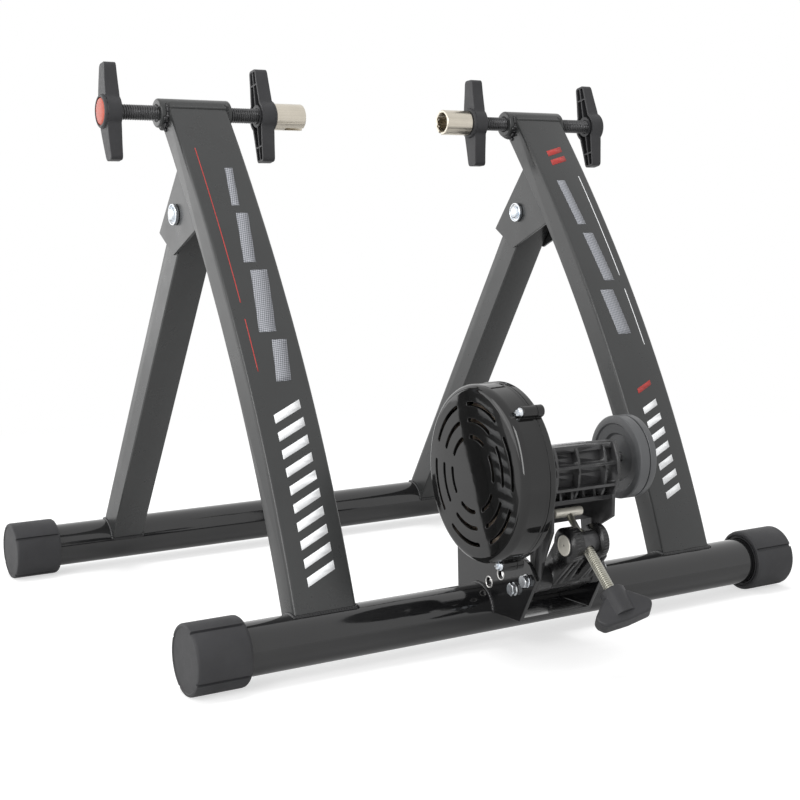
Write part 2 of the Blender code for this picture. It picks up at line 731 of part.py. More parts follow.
def make_lower_mount(root):
    """The ribbed block on both bolts, with two ears for the barrel nut."""
    core = around((SWING_Y, SWING_Z, CORE_RADIUS), (LOCK_Y, LOCK_Z, LOCK_RADIUS))
    thing = side_piece("lower_mount", core, MOUNT_LEFT_X, MOUNT_RIGHT_X, BLACK_NYLON, root)
    ear = around((SWING_Y, SWING_Z, CORE_RADIUS - 0.0005), (BARREL_Y, BARREL_Z, EAR_RADIUS - 0.0003))
    join(thing, side_helper(ear, MOUNT_LEFT_X + 0.0002, MOUNT_LEFT_X + 1.2 * FIN, root))
    for x in EAR_FIN_PLACES:
        join(thing, side_helper(ear, x - FIN / 2, x + FIN / 2, root))
    for left, right in ((BOSS_LEFT_X, ROD_SLOT_LEFT_X - 0.0001), (ROD_SLOT_RIGHT_X + 0.0001, BOSS_RIGHT_X)):
        join(thing, rod_helper(EAR_RADIUS, left, right, root, BARREL_Y, BARREL_Z))
    fin = around((SWING_Y, SWING_Z, CORE_RADIUS - 0.001), (*FIN_TIP, FIN_TIP_RADIUS))
    for x in FIN_PLACES:
        join(thing, side_helper(fin, x - FIN / 2, x + FIN / 2, root))
    cut(thing, rod_helper(BARREL_RADIUS + GAP, -0.05, 0.05, root, BARREL_Y, BARREL_Z))
    for y, z in ((SWING_Y, SWING_Z), (LOCK_Y, LOCK_Z)):
        cut(thing, rod_helper(UNIT_BOLT_RADIUS + GAP, -0.05, 0.05, root, y, z, 16))


# Carrier with roller, housing and flywheel, about the swing axis

def cheek_outline(front, eye_end, head_start):
    """A cheek: down its bulging front, round the swing eye and up to the roller's head."""
    axis = (ROLLER_Y, ROLLER_Z)
    bulge = arc(axis, CHEEK_BULGE, 153, 214, 6)
    eye = arc((SWING_Y, SWING_Z), EYE_RADIUS, 170, eye_end, 14)
    head = arc(axis, CHEEK_HEAD_RADIUS, head_start, 75, 8)
    return [(CHEEK_FRONT_Y, CHEEK_TOP_Z)] + bulge + front + eye + head + [(CHEEK_BACK_Y, CHEEK_TOP_Z)]


def make_carrier(swing):
    """The moulded carrier: two cheeks, a ribbed web round the roller and a wall for the T-bar."""
    outer = CHEEK_INSIDE + CHEEK
    left = cheek_outline([(-0.0910, 0.0975), (-0.0790, 0.0740)], 450, -100)
    right = cheek_outline([(-0.0905, 0.1030), (-0.0740, 0.0942), (-0.0735, 0.0640)], 380, -35)
    thing = side_piece("carrier", left, UNIT_X - outer, UNIT_X - CHEEK_INSIDE, BLACK_NYLON, swing)
    join(thing, side_helper(right, UNIT_X + CHEEK_INSIDE, UNIT_X + outer, swing))
    add = carrier_adder(thing, swing)
    axis = (ROLLER_Y, ROLLER_Z)
    web = (arc(axis, WEB_RADIUS, WEB_TOP_ANGLE, WEB_LOW_ANGLE, 10)
           + arc(axis, WEB_RADIUS - WEB, WEB_LOW_ANGLE, WEB_TOP_ANGLE, 10))
    inside = CHEEK_INSIDE + CHEEK / 2
    add(web, -inside, inside)
    back = ROLLER_Y + WEB_RADIUS * math.cos(math.radians(WEB_TOP_ANGLE)) + 0.002
    add(rectangle(CHEEK_FRONT_Y + 0.0001, back, CHEEK_TOP_Z - TOP_FLANGE, CHEEK_TOP_Z - 0.0001),
        -outer - 0.001, outer + 0.001)
    for z in (MIDDLE_RIB_Z, LOW_RIB_Z):
        rise = z + RIB / 2 - ROLLER_Z
        tip = ROLLER_Y - math.sqrt(RIB_RADIUS ** 2 - rise ** 2)
        root = ROLLER_Y - math.sqrt((WEB_RADIUS - WEB / 2) ** 2 - rise ** 2)
        add(rectangle(tip, root, z, z + RIB), -inside, inside)
    add(rectangle(CHEEK_FRONT_Y + 0.001, PUSH_WALL_Y + PUSH_WALL_DEPTH, LOW_FLANGE_Z, LOW_FLANGE_Z + FLANGE),
        -inside, inside)
    add(rectangle(PUSH_WALL_Y, PUSH_WALL_Y + PUSH_WALL_DEPTH - 0.0001, PUSH_WALL_LOW_Z, LOW_FLANGE_Z + 0.001),
        -inside, inside)
    rib = (arc(axis, RIB_RADIUS - 0.0006, WEB_TOP_ANGLE + 6, WEB_LOW_ANGLE - 10, 8)
           + arc(axis, WEB_RADIUS - WEB / 2, WEB_LOW_ANGLE - 6, WEB_TOP_ANGLE + 2, 8))
    for x in (-0.0072, 0.0170):
        add(rib, x - RIB / 2, x + RIB / 2)
    for x in (-0.0192, -0.0092, 0.0008, 0.0108):
        add(rectangle(CHEEK_FRONT_Y + 0.002, -0.0830, LOW_FLANGE_Z + FLANGE / 2, LOW_RIB_Z + RIB / 2),
            x - RIB / 2, x + RIB / 2)
    for radius, left, right, y, z in (
            (EYE_RADIUS - 0.0002, -outer + 0.0002, MOUNT_LEFT_X - EYE_CLEARANCE - UNIT_X, SWING_Y, SWING_Z),
            (EYE_RADIUS - 0.0002, MOUNT_RIGHT_X + EYE_CLEARANCE - UNIT_X, outer - 0.0002, SWING_Y, SWING_Z),
            (BOSS_RADIUS, HOUSING_BACK_X + GAP - UNIT_X, -CHEEK_INSIDE - CHEEK / 2, ROLLER_Y, ROLLER_Z),
            (BOSS_RADIUS, CHEEK_INSIDE + CHEEK / 2, RIGHT_BOSS_END, ROLLER_Y, ROLLER_Z)):
        join(thing, rod_helper(radius, UNIT_X + left, UNIT_X + right, swing, y, z))
    cut(thing, rod_helper(SHAFT_RADIUS + SHAFT_CLEARANCE, -0.1, 0.1, swing, ROLLER_Y, ROLLER_Z))
    seat = CHEEK_INSIDE + CHEEK + 0.001
    for low, high in ((-seat - BEARING_WIDTH - GAP, -seat + GAP), (seat - GAP, seat + BEARING_WIDTH + GAP)):
        cut(thing, rod_helper(BEARING_RADIUS + GAP, UNIT_X + low, UNIT_X + high, swing, ROLLER_Y, ROLLER_Z))
    cut(thing, rod_helper(UNIT_BOLT_RADIUS + GAP, -0.1, 0.1, swing, SWING_Y, SWING_Z, 16))
    for name, low in (("left_bearing", -seat - BEARING_WIDTH), ("right_bearing", seat)):
        make_bearing(name, UNIT_X + low, swing)


def rectangle(near, far, low, high):
    return [(near, low), (far, low), (far, high), (near, high)]


def carrier_adder(thing, swing):
    def add(outline, left, right):
        join(thing, side_helper(outline, UNIT_X + left, UNIT_X + right, swing))
    return add


def make_bearing(name, left, swing):
    hole = SHAFT_RADIUS + GAP
    edge = 0.0005
    profile = [(BEARING_RADIUS - edge, BEARING_WIDTH), (BEARING_RADIUS, BEARING_WIDTH - edge),
               (BEARING_RADIUS, edge), (BEARING_RADIUS - edge, 0), (hole, 0), (hole, BEARING_WIDTH)]
    piece(name, turned(profile, 24), BRIGHT_STEEL, swing, (left, ROLLER_Y, ROLLER_Z), ALONG_X)


def make_housing(swing):
    """The two-part housing of the brake: a slotted cover and a back shell, held by screws in bosses."""
    centre = (0, ROLLER_Y, ROLLER_Z)
    inside = HOUSING_RADIUS - HOUSING_WALL
    face = HOUSING_FACE_X
    corner = (HOUSING_RADIUS - HOUSING_ROUND, face + FACE_RISE + HOUSING_ROUND)
    rounding = [(corner[0] + HOUSING_ROUND * math.cos(math.radians(angle)),
                 corner[1] - HOUSING_ROUND * math.sin(math.radians(angle))) for angle in (0, 30, 60, 90)]
    cover_profile = [(HOUSING_RADIUS, HOUSING_SEAM_X)] + rounding + [
        (FACE_MIDDLE_RADIUS, face + 0.3 * FACE_RISE), (0, face), (0, face + HOUSING_WALL),
        (corner[0] - HOUSING_WALL, face + FACE_RISE + HOUSING_WALL), (inside, corner[1]), (inside, HOUSING_SEAM_X)]
    cover = piece("housing_cover", turned(cover_profile + cover_profile[:1], FINE, closed=False), GLOSS_PLASTIC,
                  swing, centre, ALONG_X)
    pan = HOUSING_BACK_X - BACK_WALL
    hole = SHAFT_RADIUS + SHAFT_CLEARANCE
    back_profile = [(HOUSING_RADIUS - 0.0008, HOUSING_BACK_X), (HOUSING_RADIUS, HOUSING_BACK_X - 0.0008),
                    (HOUSING_RADIUS, HOUSING_SEAM_X + GAP), (inside, HOUSING_SEAM_X + GAP), (inside, pan),
                    (hole, pan), (hole, HOUSING_BACK_X)]
    back = piece("housing_back", turned(back_profile, FINE), GLOSS_PLASTIC, swing, centre, ALONG_X)
    for number in range(HOUSING_SCREWS):
        angle = math.radians(SCREW_FIRST_ANGLE + 360 * number / HOUSING_SCREWS)
        y = ROLLER_Y + SCREW_RING_RADIUS * math.cos(angle)
        z = ROLLER_Z + SCREW_RING_RADIUS * math.sin(angle)
        join(cover, rod_helper(SCREW_BOSS_RADIUS, SCREW_BOSS_FRONT_X, HOUSING_SEAM_X, swing, y, z, 16))
        join(back, rod_helper(SCREW_BOSS_RADIUS, HOUSING_SEAM_X + GAP, SCREW_BOSS_BACK_X, swing, y, z, 16))
        for shell in (cover, back):
            cut(shell, rod_helper(SCREW_RADIUS + GAP, SCREW_BOSS_FRONT_X - 0.01, SCREW_BOSS_BACK_X - SCREW_TIP,
                                  swing, y, z, 12))
        cut(cover, rod_helper(SCREW_HEAD_RADIUS + SCREW_HEAD_ROOM, HOUSING_FACE_X - 0.01, SCREW_BOSS_FRONT_X,
                              swing, y, z, 16))
        make_housing_screw(f"housing_screw_{number + 1}", y, z, swing)
    cut(cover, slot_cutter(swing))
    ring_profile = [(MAGNET_RING_RADIUS, MAGNET_RING), (MAGNET_RING_RADIUS, 0), (MAGNET_RING_HOLE, 0),
                    (MAGNET_RING_HOLE, MAGNET_RING)]
    piece("magnet_ring", turned(ring_profile), CAST_IRON, swing, (pan - GAP - MAGNET_RING, ROLLER_Y, ROLLER_Z),
          ALONG_X)


def make_housing_screw(name, y, z, swing):
    shank_end = SCREW_BOSS_BACK_X - SCREW_TIP - GAP
    head = SCREW_BOSS_FRONT_X - GAP
    screw = piece(name, cylinder_mesh(SCREW_RADIUS, head - SCREW_HEAD / 2, shank_end, 12), ZINC, swing,
                  (0, y, z), ALONG_X)
    join(screw, helper(cylinder_mesh(SCREW_HEAD_RADIUS, head - SCREW_HEAD, head, 16), swing, (0, y, z), ALONG_X))


def slot_cutter(swing):
    """All arc slots of the cover's face as one cutter of separate solids."""
    made = bmesh.new()
    for group in range(SLOT_GROUPS):
        middle = SLOT_START + 360 * group / SLOT_GROUPS
        for radius, span in SLOT_ROWS:
            half = SLOT_WIDTH / 2
            outline = (arc((0, 0), radius + half, middle - span / 2, middle + span / 2, 4)
                       + arc((0, 0), radius - half, middle + span / 2, middle - span / 2, 4))
            made.from_mesh(flat(outline, 4 * HOUSING_WALL))
    mesh = finished(made)
    return helper(mesh, swing, (HOUSING_FACE_X + HOUSING_WALL, ROLLER_Y, ROLLER_Z), ALONG_X)


def make_spinning(spin):
    """Everything that turns with the roller; the empty is on the roller's axis."""
    rotor_back = ROTOR_FACE_X + ROTOR
    left_end = ROTOR_FACE_X - ROTOR_NUT - GAP - SHAFT_END
    right_end = FLYWHEEL_FACE_X + FLYWHEEL + FLYWHEEL_NUT + GAP + SHAFT_END
    piece("roller_shaft", cylinder_mesh(SHAFT_RADIUS, left_end, right_end, 24), BRIGHT_STEEL, spin, (0, 0, 0),
          ALONG_X)
    hole = SHAFT_RADIUS + GAP
    half = ROLLER_LENGTH / 2
    roller_profile = [(ROLLER_RADIUS - 0.001, half), (ROLLER_RADIUS, half - 0.001), (ROLLER_RADIUS, 0.001 - half),
                      (ROLLER_RADIUS - 0.001, -half), (hole, -half), (hole, half)]
    piece("roller", turned(roller_profile), BRIGHT_STEEL, spin, (UNIT_X, 0, 0), ALONG_X)
    rotor_profile = [(ROTOR_HUB_RADIUS, ROTOR + ROTOR_HUB), (ROTOR_HUB_RADIUS, ROTOR), (ROTOR_RADIUS, ROTOR),
                     (ROTOR_RADIUS, 0), (hole, 0), (hole, ROTOR + ROTOR_HUB)]
    piece("brake_rotor", turned(rotor_profile, FINE), ALUMINIUM, spin, (rotor_back - ROTOR, 0, 0), ALONG_X)
    make_nut("rotor_nut", ROTOR_NUT_ACROSS, ROTOR_FACE_X - GAP - ROTOR_NUT, ROTOR_NUT, spin)
    make_nut("flywheel_nut", FLYWHEEL_NUT_ACROSS, FLYWHEEL_FACE_X + FLYWHEEL + GAP, FLYWHEEL_NUT, spin)
    groove = FLYWHEEL_GROOVE_X - FLYWHEEL_FACE_X
    edge = FLYWHEEL_EDGE
    r = FLYWHEEL_RADIUS
    wheel_profile = [
        (hole, FLYWHEEL), (r - edge, FLYWHEEL), (r, FLYWHEEL - edge), (r, groove + FLYWHEEL_GROOVE),
        (r - FLYWHEEL_GROOVE, groove + FLYWHEEL_GROOVE), (r - FLYWHEEL_GROOVE, groove), (r, groove), (r, edge),
        (r - edge, 0), (FLYWHEEL_DISH_RADIUS, 0), (FLYWHEEL_DISH_RADIUS - 0.0015, FLYWHEEL_DISH),
        (hole, FLYWHEEL_DISH)]
    piece("flywheel", turned(wheel_profile, FINE), STEEL_SATIN, spin, (FLYWHEEL_FACE_X, 0, 0), ALONG_X)


def make_nut(name, across, left, height, spin):
    nut = piece(name, hexagon_mesh(across, left, left + height), ZINC, spin, (0, 0, 0), ALONG_X)
    cut(nut, helper(cylinder_mesh(SHAFT_RADIUS + GAP, -0.1, 0.1, 24), spin, (0, 0, 0), ALONG_X))


# Adjuster, in a frame whose Z runs up along the rod

def make_adjuster(root):
    """The barrel nut in the ears, and the rod through it with T-bar and knob."""
    turn = (-math.radians(ADJUSTER_ANGLE), 0, 0)
    tilted = empty("barrel_axis", root, (UNIT_X, BARREL_Y, BARREL_Z), turn)
    across = (0, math.pi / 2, 0)
    low = BOSS_LEFT_X - BARREL_END - UNIT_X
    high = BOSS_RIGHT_X + BARREL_END - UNIT_X
    barrel = piece("barrel_nut", cylinder_mesh(BARREL_RADIUS, low, high, 24), ZINC, tilted, (0, 0, 0), across)
    cut(barrel, helper(cylinder_mesh(ADJUSTER_RADIUS + GAP, -0.03, 0.03, 24), tilted))
    shoulder = T_BAR_REACH - T_BAR_RADIUS - GAP
    rod_profile = [(0, T_BAR_REACH + T_BAR_RADIUS), (T_PIN_RADIUS, T_BAR_REACH + T_BAR_RADIUS),
                   (T_PIN_RADIUS, shoulder), (ADJUSTER_RADIUS, shoulder),
                   (ADJUSTER_RADIUS, KNOB_TOP - KNOB_BORE), (0, KNOB_TOP - KNOB_BORE)]
    piece("adjuster_rod", turned(rod_profile, 24, closed=False), ZINC, tilted)
    bar = piece("t_bar", cylinder_mesh(T_BAR_RADIUS, -T_BAR_LENGTH / 2, T_BAR_LENGTH / 2, 24), ZINC, tilted,
                (0, 0, T_BAR_REACH), across)
    round_edges(bar, 0.0007, 1)
    cut(bar, helper(cylinder_mesh(T_PIN_RADIUS + GAP, -0.02, 0.02, 16), tilted, (0, 0, T_BAR_REACH)))
    half = KNOB_SPAN / 2
    wing_half = [(0, -KNOB_DEPTH), (half * 0.82, 0.001 - KNOB_DEPTH), (half, 0.006 - KNOB_DEPTH),
                 (half, -KNOB_SHOULDER), (KNOB_NECK_RADIUS * 0.9, -KNOB_NECK)]
    wing = wing_half + [(-x, z) for x, z in reversed(wing_half[1:])]
    knob = piece("adjuster_knob", flat(wing, KNOB_THICKNESS), PLASTIC, tilted, (0, 0, KNOB_TOP),
                 (math.pi / 2, 0, math.radians(KNOB_TURN)))
    round_edges(knob, 0.0022)
    join(knob, helper(cylinder_mesh(KNOB_NECK_RADIUS, KNOB_TOP - KNOB_DEPTH * 0.8, KNOB_TOP, 24), tilted))
    cut(knob, helper(cylinder_mesh(ADJUSTER_RADIUS + GAP, KNOB_TOP - KNOB_BORE - GAP, KNOB_TOP + 0.01, 24),
                     tilted))


# Assembly

def centre_on_footprint(root):
    """Moves the whole along Y until its extent's middle is at the origin."""
    bpy.context.view_layer.update()
    depsgraph = bpy.context.evaluated_depsgraph_get()
    reach = []
    for thing in PARTS.objects:
        if thing.type == "MESH":
            seen = thing.evaluated_get(depsgraph)
            reach += [(seen.matrix_world @ vertex.co).y for vertex in seen.data.vertices]
    root.location.y = -(min(reach) + max(reach)) / 2


def make_trainer():
    root = empty("trainer", None)
    fold = empty("fold_axis", root, (0, FOLD_Y, FOLD_Z))
    rear_floor = parent_at_floor(fold)
    swing_axis = empty("swing_axis", root, (0, 0, 0))
    spin = empty("roller_axis", swing_axis, (0, ROLLER_Y, ROLLER_Z))
    make_tube("front_tube", 0, root)
    make_tube("rear_tube", REAR_TUBE_Y - FOLD_Y, rear_floor)
    for side_name, side in (("left", -1), ("right", 1)):
        x = side * UPRIGHT_X
        make_cap("front_cap_" + side_name, side, 0, root)
        make_cap("rear_cap_" + side_name, side, REAR_TUBE_Y - FOLD_Y, rear_floor)
        make_upright(side_name + "_upright", x, root)
        make_sleeve(side_name + "_sleeve", x, root)
        make_fold_bracket(side_name + "_fold_bracket", x, root)
        make_fold_bolt(side_name, x, root)
        make_leg(side_name + "_leg", x, fold)
        make_clamp(side_name, side, root)
    make_unit_bracket(root)
    make_unit_bolt("swing", SWING_Y, SWING_Z, root)
    make_unit_bolt("lock", LOCK_Y, LOCK_Z, root)
    make_lower_mount(root)
    make_carrier(swing_axis)
    make_housing(swing_axis)
    make_spinning(spin)
    make_adjuster(root)
    centre_on_footprint(root)
    bpy.context.view_layer.update()


clear_scene()
PARTS = make_collection("bicycle_trainer")
HELPERS = make_collection("cutters")
STEEL_SATIN = material("satin_black_steel", (0.075, 0.078, 0.080), 0.42)
STEEL_GLOSS = material("gloss_black_steel", (0.020, 0.020, 0.022), 0.18)
STEEL_BLACK = material("black_thread", (0.060, 0.060, 0.062), 0.45, 0.6)
RUBBER = material("cap_rubber", (0.055, 0.057, 0.060), 0.75)
PLASTIC = material("handle_plastic", (0.060, 0.062, 0.066), 0.55)
BLACK_NYLON = material("carrier_nylon", (0.035, 0.035, 0.037), 0.42)
GLOSS_PLASTIC = material("housing_plastic", (0.022, 0.022, 0.024), 0.15)
NICKEL = material("cup_nickel", (0.70, 0.66, 0.58), 0.28, 1.0)
ZINC = material("zinc", (0.72, 0.72, 0.70), 0.30, 1.0)
BRIGHT_STEEL = material("bright_steel", (0.62, 0.62, 0.63), 0.30, 1.0)
ALUMINIUM = material("aluminium", (0.75, 0.75, 0.76), 0.35, 1.0)
CAST_IRON = material("magnet_ring", (0.20, 0.20, 0.21), 0.6, 0.8)
RED = material("red_cap", (0.62, 0.07, 0.03), 0.45)
make_trainer()
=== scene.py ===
"""Looks of the folding bicycle trainer, built round its CAD model."""
import json
from math import atan, cos, degrees, hypot, pi, radians, remainder, sin

import bmesh
import bpy
from mathutils import Matrix, Vector, noise

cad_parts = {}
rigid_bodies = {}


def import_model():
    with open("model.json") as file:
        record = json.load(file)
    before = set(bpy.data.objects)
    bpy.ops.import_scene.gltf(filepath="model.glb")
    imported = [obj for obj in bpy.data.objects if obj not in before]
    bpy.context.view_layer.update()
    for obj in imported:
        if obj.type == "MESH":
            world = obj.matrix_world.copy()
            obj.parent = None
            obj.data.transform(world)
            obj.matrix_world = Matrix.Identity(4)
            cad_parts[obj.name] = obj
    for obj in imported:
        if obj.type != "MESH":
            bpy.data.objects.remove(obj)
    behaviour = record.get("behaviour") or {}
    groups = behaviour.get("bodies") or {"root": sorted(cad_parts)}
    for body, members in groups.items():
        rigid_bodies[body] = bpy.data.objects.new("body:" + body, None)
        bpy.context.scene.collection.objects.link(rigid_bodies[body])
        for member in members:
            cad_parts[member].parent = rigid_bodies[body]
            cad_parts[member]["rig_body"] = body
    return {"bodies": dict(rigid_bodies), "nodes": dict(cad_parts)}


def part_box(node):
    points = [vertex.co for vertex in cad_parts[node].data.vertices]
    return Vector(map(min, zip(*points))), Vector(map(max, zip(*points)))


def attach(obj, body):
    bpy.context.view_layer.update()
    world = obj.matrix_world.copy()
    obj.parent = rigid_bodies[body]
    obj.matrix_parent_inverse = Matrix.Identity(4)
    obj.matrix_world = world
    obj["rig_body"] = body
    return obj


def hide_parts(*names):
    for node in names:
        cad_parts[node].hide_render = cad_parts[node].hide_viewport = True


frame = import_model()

kept = set(frame["nodes"].values()) | set(frame["bodies"].values())
for thing in list(bpy.data.objects):
    if thing not in kept:
        bpy.data.objects.remove(thing, do_unlink=True)
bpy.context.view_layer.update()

# Places and sizes of the CAD model, with Y counted from the front tube's axis
SHIFT = (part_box("front_tube")[0].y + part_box("front_tube")[1].y) / 2
TUBE_R = 0.0191
TUBE_Z = (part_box("front_tube")[0].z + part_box("front_tube")[1].z) / 2
TUBE_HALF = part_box("front_tube")[1].x
REAR_Y = 0.4305
CAP_R = 0.02527
CAP_LENGTH = 0.0402
CAP_END = 0.2725
UPRIGHT_X = 0.168
UPRIGHT_HALF = 0.025
UPRIGHT_DEPTH = 0.0232
LEG_HALF = 0.0147
CURVE = (0.0615, 0.527, 0.611, 0.2)
AXLE = (0.2175, 0.4117)
SLEEVE_R = 0.0118
SLEEVE_HALF = 0.0306
ROD_R = 0.00625
CUP_FACE = 0.0703
CUP_BACK = 0.0972
HANDLE_BACK = 0.231
HUB_R = 0.014
HUB_THICK = 0.014
ARM_REACH = 0.0392
ARM_THICK = 0.0115
FOLD = (0.2145, 0.33)
UNIT_X = -0.002
BRACKET_HALF = 0.0325
SWING = (-0.0645, 0.0583)
LOCK = (-0.0482, 0.0492)
SPARE_HOLE = (0.0345, -0.0015)
ROLLER = (-0.06, 0.1407)
BARREL = (-0.0915, 0.0873)
ADJUSTER_ANGLE = radians(46.7)
GAP = 0.0003

# Housing, rotor, roller and flywheel, with X counted from the trainer's middle
COVER_R = 0.0648
COVER_FACE = -0.0772
COVER_RISE = 0.0012
COVER_ROUND = 0.006
COVER_WALL = 0.0025
COVER_SEAM = -0.0545
SHELL_BACK = -0.049
SCREW_RING = 0.0668
SCREW_START = 134.0
SLOT_HALF = 0.0015
SLOT_START = -16.0
SLOT_ROWS = ((0.0505, 45.0), (0.0388, 44.0), (0.027, 42.0))
ROTOR_X = -0.064
ROLLER_HALF = 0.025
FLYWHEEL_X = 0.0508
FLYWHEEL_END = 0.0667
FLYWHEEL_R = 0.0317
FLYWHEEL_GROOVE = 0.0603

# Fasteners and the knob
FOLD_FACE = LEG_HALF + 0.001 + 0.0025 + GAP
UNIT_BOLT_ACROSS = 0.0085
KNOB_TOP = -0.0435
KNOB_DEPTH = 0.0272
KNOB_HALF = 0.0215
KNOB_TURN = radians(-20)

# Welds and prints
BEAD_STEP = 0.0006
BEAD_RIPPLE = 0.0021
SLEEVE_LUMPS = (  # x, angle, radius, rise off the sleeve
    (-0.0292, 200, 0.0029, 0.001), (-0.0282, 224, 0.0036, 0.0018), (-0.0262, 192, 0.0026, 0.0014),
    (-0.0268, 246, 0.0038, 0.003), (-0.0256, 214, 0.003, 0.0042))
INK_LIFT = 0.00012
INK_THICK = 0.0001
INK_STEP = 0.004

# Studio
FLOOR_TONE = 0.6
FLOOR_LIFT = 0.58
FLOOR_GLOSS = 0.18
SOFT_LIGHT = 0.55
LAMPS = (  # name, place, size, power, seen in reflections
    ("top", (0.0, 0.1, 2.2), (1.6, 0.9), 20, False),
    ("strip", (-1.6, -1.0, 0.9), (0.55, 1.6), 17, True),
    ("side", (-1.8, 0.5, 0.8), (1.2, 1.2), 7, True),
    ("window", (-1.7, 2.3, 0.75), (2.6, 1.5), 12, True),
    ("low", (-0.2, -2.0, 0.45), (1.4, 0.7), 9, False))
LAMP_TARGET = Vector((0, 0, 0.2))
PICTURE = 800
FOCAL = 1483.307
CAMERA_SHIFT = (108.771, -48.192)
CAMERA_PLACE = (-0.632972, -0.946255, 0.315296)
CAMERA_TURN = (33.587, 4.768, 0.787)


# Node materials

class Graph:
    """A node tree being built, with short ways to add and join nodes."""

    def __init__(self, tree):
        self.tree = tree

    def node(self, kind, **settings):
        made = self.tree.nodes.new(kind)
        for key, value in settings.items():
            setattr(made, key, value)
        return made

    def feed(self, source, target):
        """Joins an output to an input, or writes a plain value into the input."""
        if isinstance(source, (int, float, tuple)):
            target.default_value = source
        else:
            self.tree.links.new(source, target)

    def step(self, kind, inputs, output=0, **settings):
        """Adds a node, fills its inputs and gives one of its outputs."""
        made = self.node(kind, **settings)
        for key, value in inputs.items():
            self.feed(value, made.inputs[key])
        return made.outputs[output]

    def maths(self, operation, a, b=0.0):
        return self.step("ShaderNodeMath", {0: a, 1: b}, operation=operation)

    def ranged(self, value, low, high, source=(0.3, 0.7), curve="LINEAR"):
        limits = dict(zip(("From Min", "From Max", "To Min", "To Max"), (*source, low, high)))
        return self.step("ShaderNodeMapRange", {"Value": value, **limits}, "Result", interpolation_type=curve)


class Look(Graph):
    """A Principled material whose colour, roughness and relief come from procedural nodes."""

    def __init__(self, name, **sockets):
        self.made = bpy.data.materials.new(name)
        self.made.use_nodes = True
        super().__init__(self.made.node_tree)
        self.sockets = self.tree.nodes["Principled BSDF"].inputs
        for key, value in sockets.items():
            self.sockets[key.replace("_", " ")].default_value = value
        self.place = self.node("ShaderNodeTexCoord").outputs["Object"]

    def mapped(self, **inputs):
        return self.step("ShaderNodeMapping", {"Vector": self.place, **inputs}, "Vector")

    def noise(self, scale, detail=3.0, rough=0.55, vector=None):
        return self.step("ShaderNodeTexNoise", {"Scale": scale, "Detail": detail, "Roughness": rough,
                                                "Vector": vector or self.place}, "Fac")

    def mixed(self, factor, first, second):
        first, second = [(*value, 1) if isinstance(value, tuple) else value for value in (first, second)]
        return self.step("ShaderNodeMix", {"Factor": factor, 6: first, 7: second}, 2, data_type="RGBA")

    def finish(self, colour, roughness, height, depth):
        bump = self.step("ShaderNodeBump", {"Strength": 1.0, "Distance": depth, "Height": height}, "Normal")
        for source, name in ((colour, "Base Color"), (roughness, "Roughness"), (bump, "Normal")):
            self.feed(source, self.sockets[name])
        return self.made


def scaled(colour, factor):
    return tuple(min(1.0, c * factor) for c in colour)


def coated(name, colour, rough, vary, contrast, peel, depth, cloud, **sockets):
    """Paint or moulded plastic: cloudy colour, uneven gloss and a fine skin."""
    look = Look(name, **sockets)
    colour = look.mixed(look.ranged(look.noise(cloud, 5.0), 0, 1), scaled(colour, 1 - contrast),
                        scaled(colour, 1 + contrast))
    roughness = look.ranged(look.noise(cloud * 3.1, 6.0, 0.65), rough - vary, rough + vary)
    return look.finish(colour, roughness, look.noise(peel, 2.0, 0.5), depth)


def brushed(name, colour, rough, stretch, vary, contrast=0.1, depth=0.00002, tint=None, **sockets):
    """Plated or machined metal with fine lines along one direction and a cloudy tone."""
    look = Look(name, Metallic=1.0, **sockets)
    lines = look.noise(1.0, 4.0, 0.6, look.mapped(Scale=stretch))
    toned = look.mixed(look.ranged(look.noise(90.0, 4.0), 0, 1), scaled(colour, 1 - contrast),
                       tint or scaled(colour, 1 + contrast))
    colour = look.mixed(look.ranged(lines, 0, 0.5), toned, scaled(colour, 0.7))
    return look.finish(colour, look.ranged(lines, rough - vary, rough + vary), lines, depth)


def meshed(name, colour, dark, pitch):
    """Printed ink broken up by a fine slanted mesh."""
    look = Look(name)
    split = look.node("ShaderNodeSeparateXYZ")
    look.feed(look.mapped(Rotation=(0, radians(32), 0)), split.inputs["Vector"])
    rate = 2 * pi / pitch
    waves = [look.maths("SINE", look.maths("MULTIPLY", split.outputs[axis], rate)) for axis in (0, 2)]
    cells = look.maths("MULTIPLY", *waves)
    colour = look.mixed(look.ranged(cells, 0, 1, (-0.25, 0.35)), dark, colour)
    return look.finish(colour, look.ranged(look.noise(60.0), 0.38, 0.5), look.noise(450.0, 2.0), 0.00003)


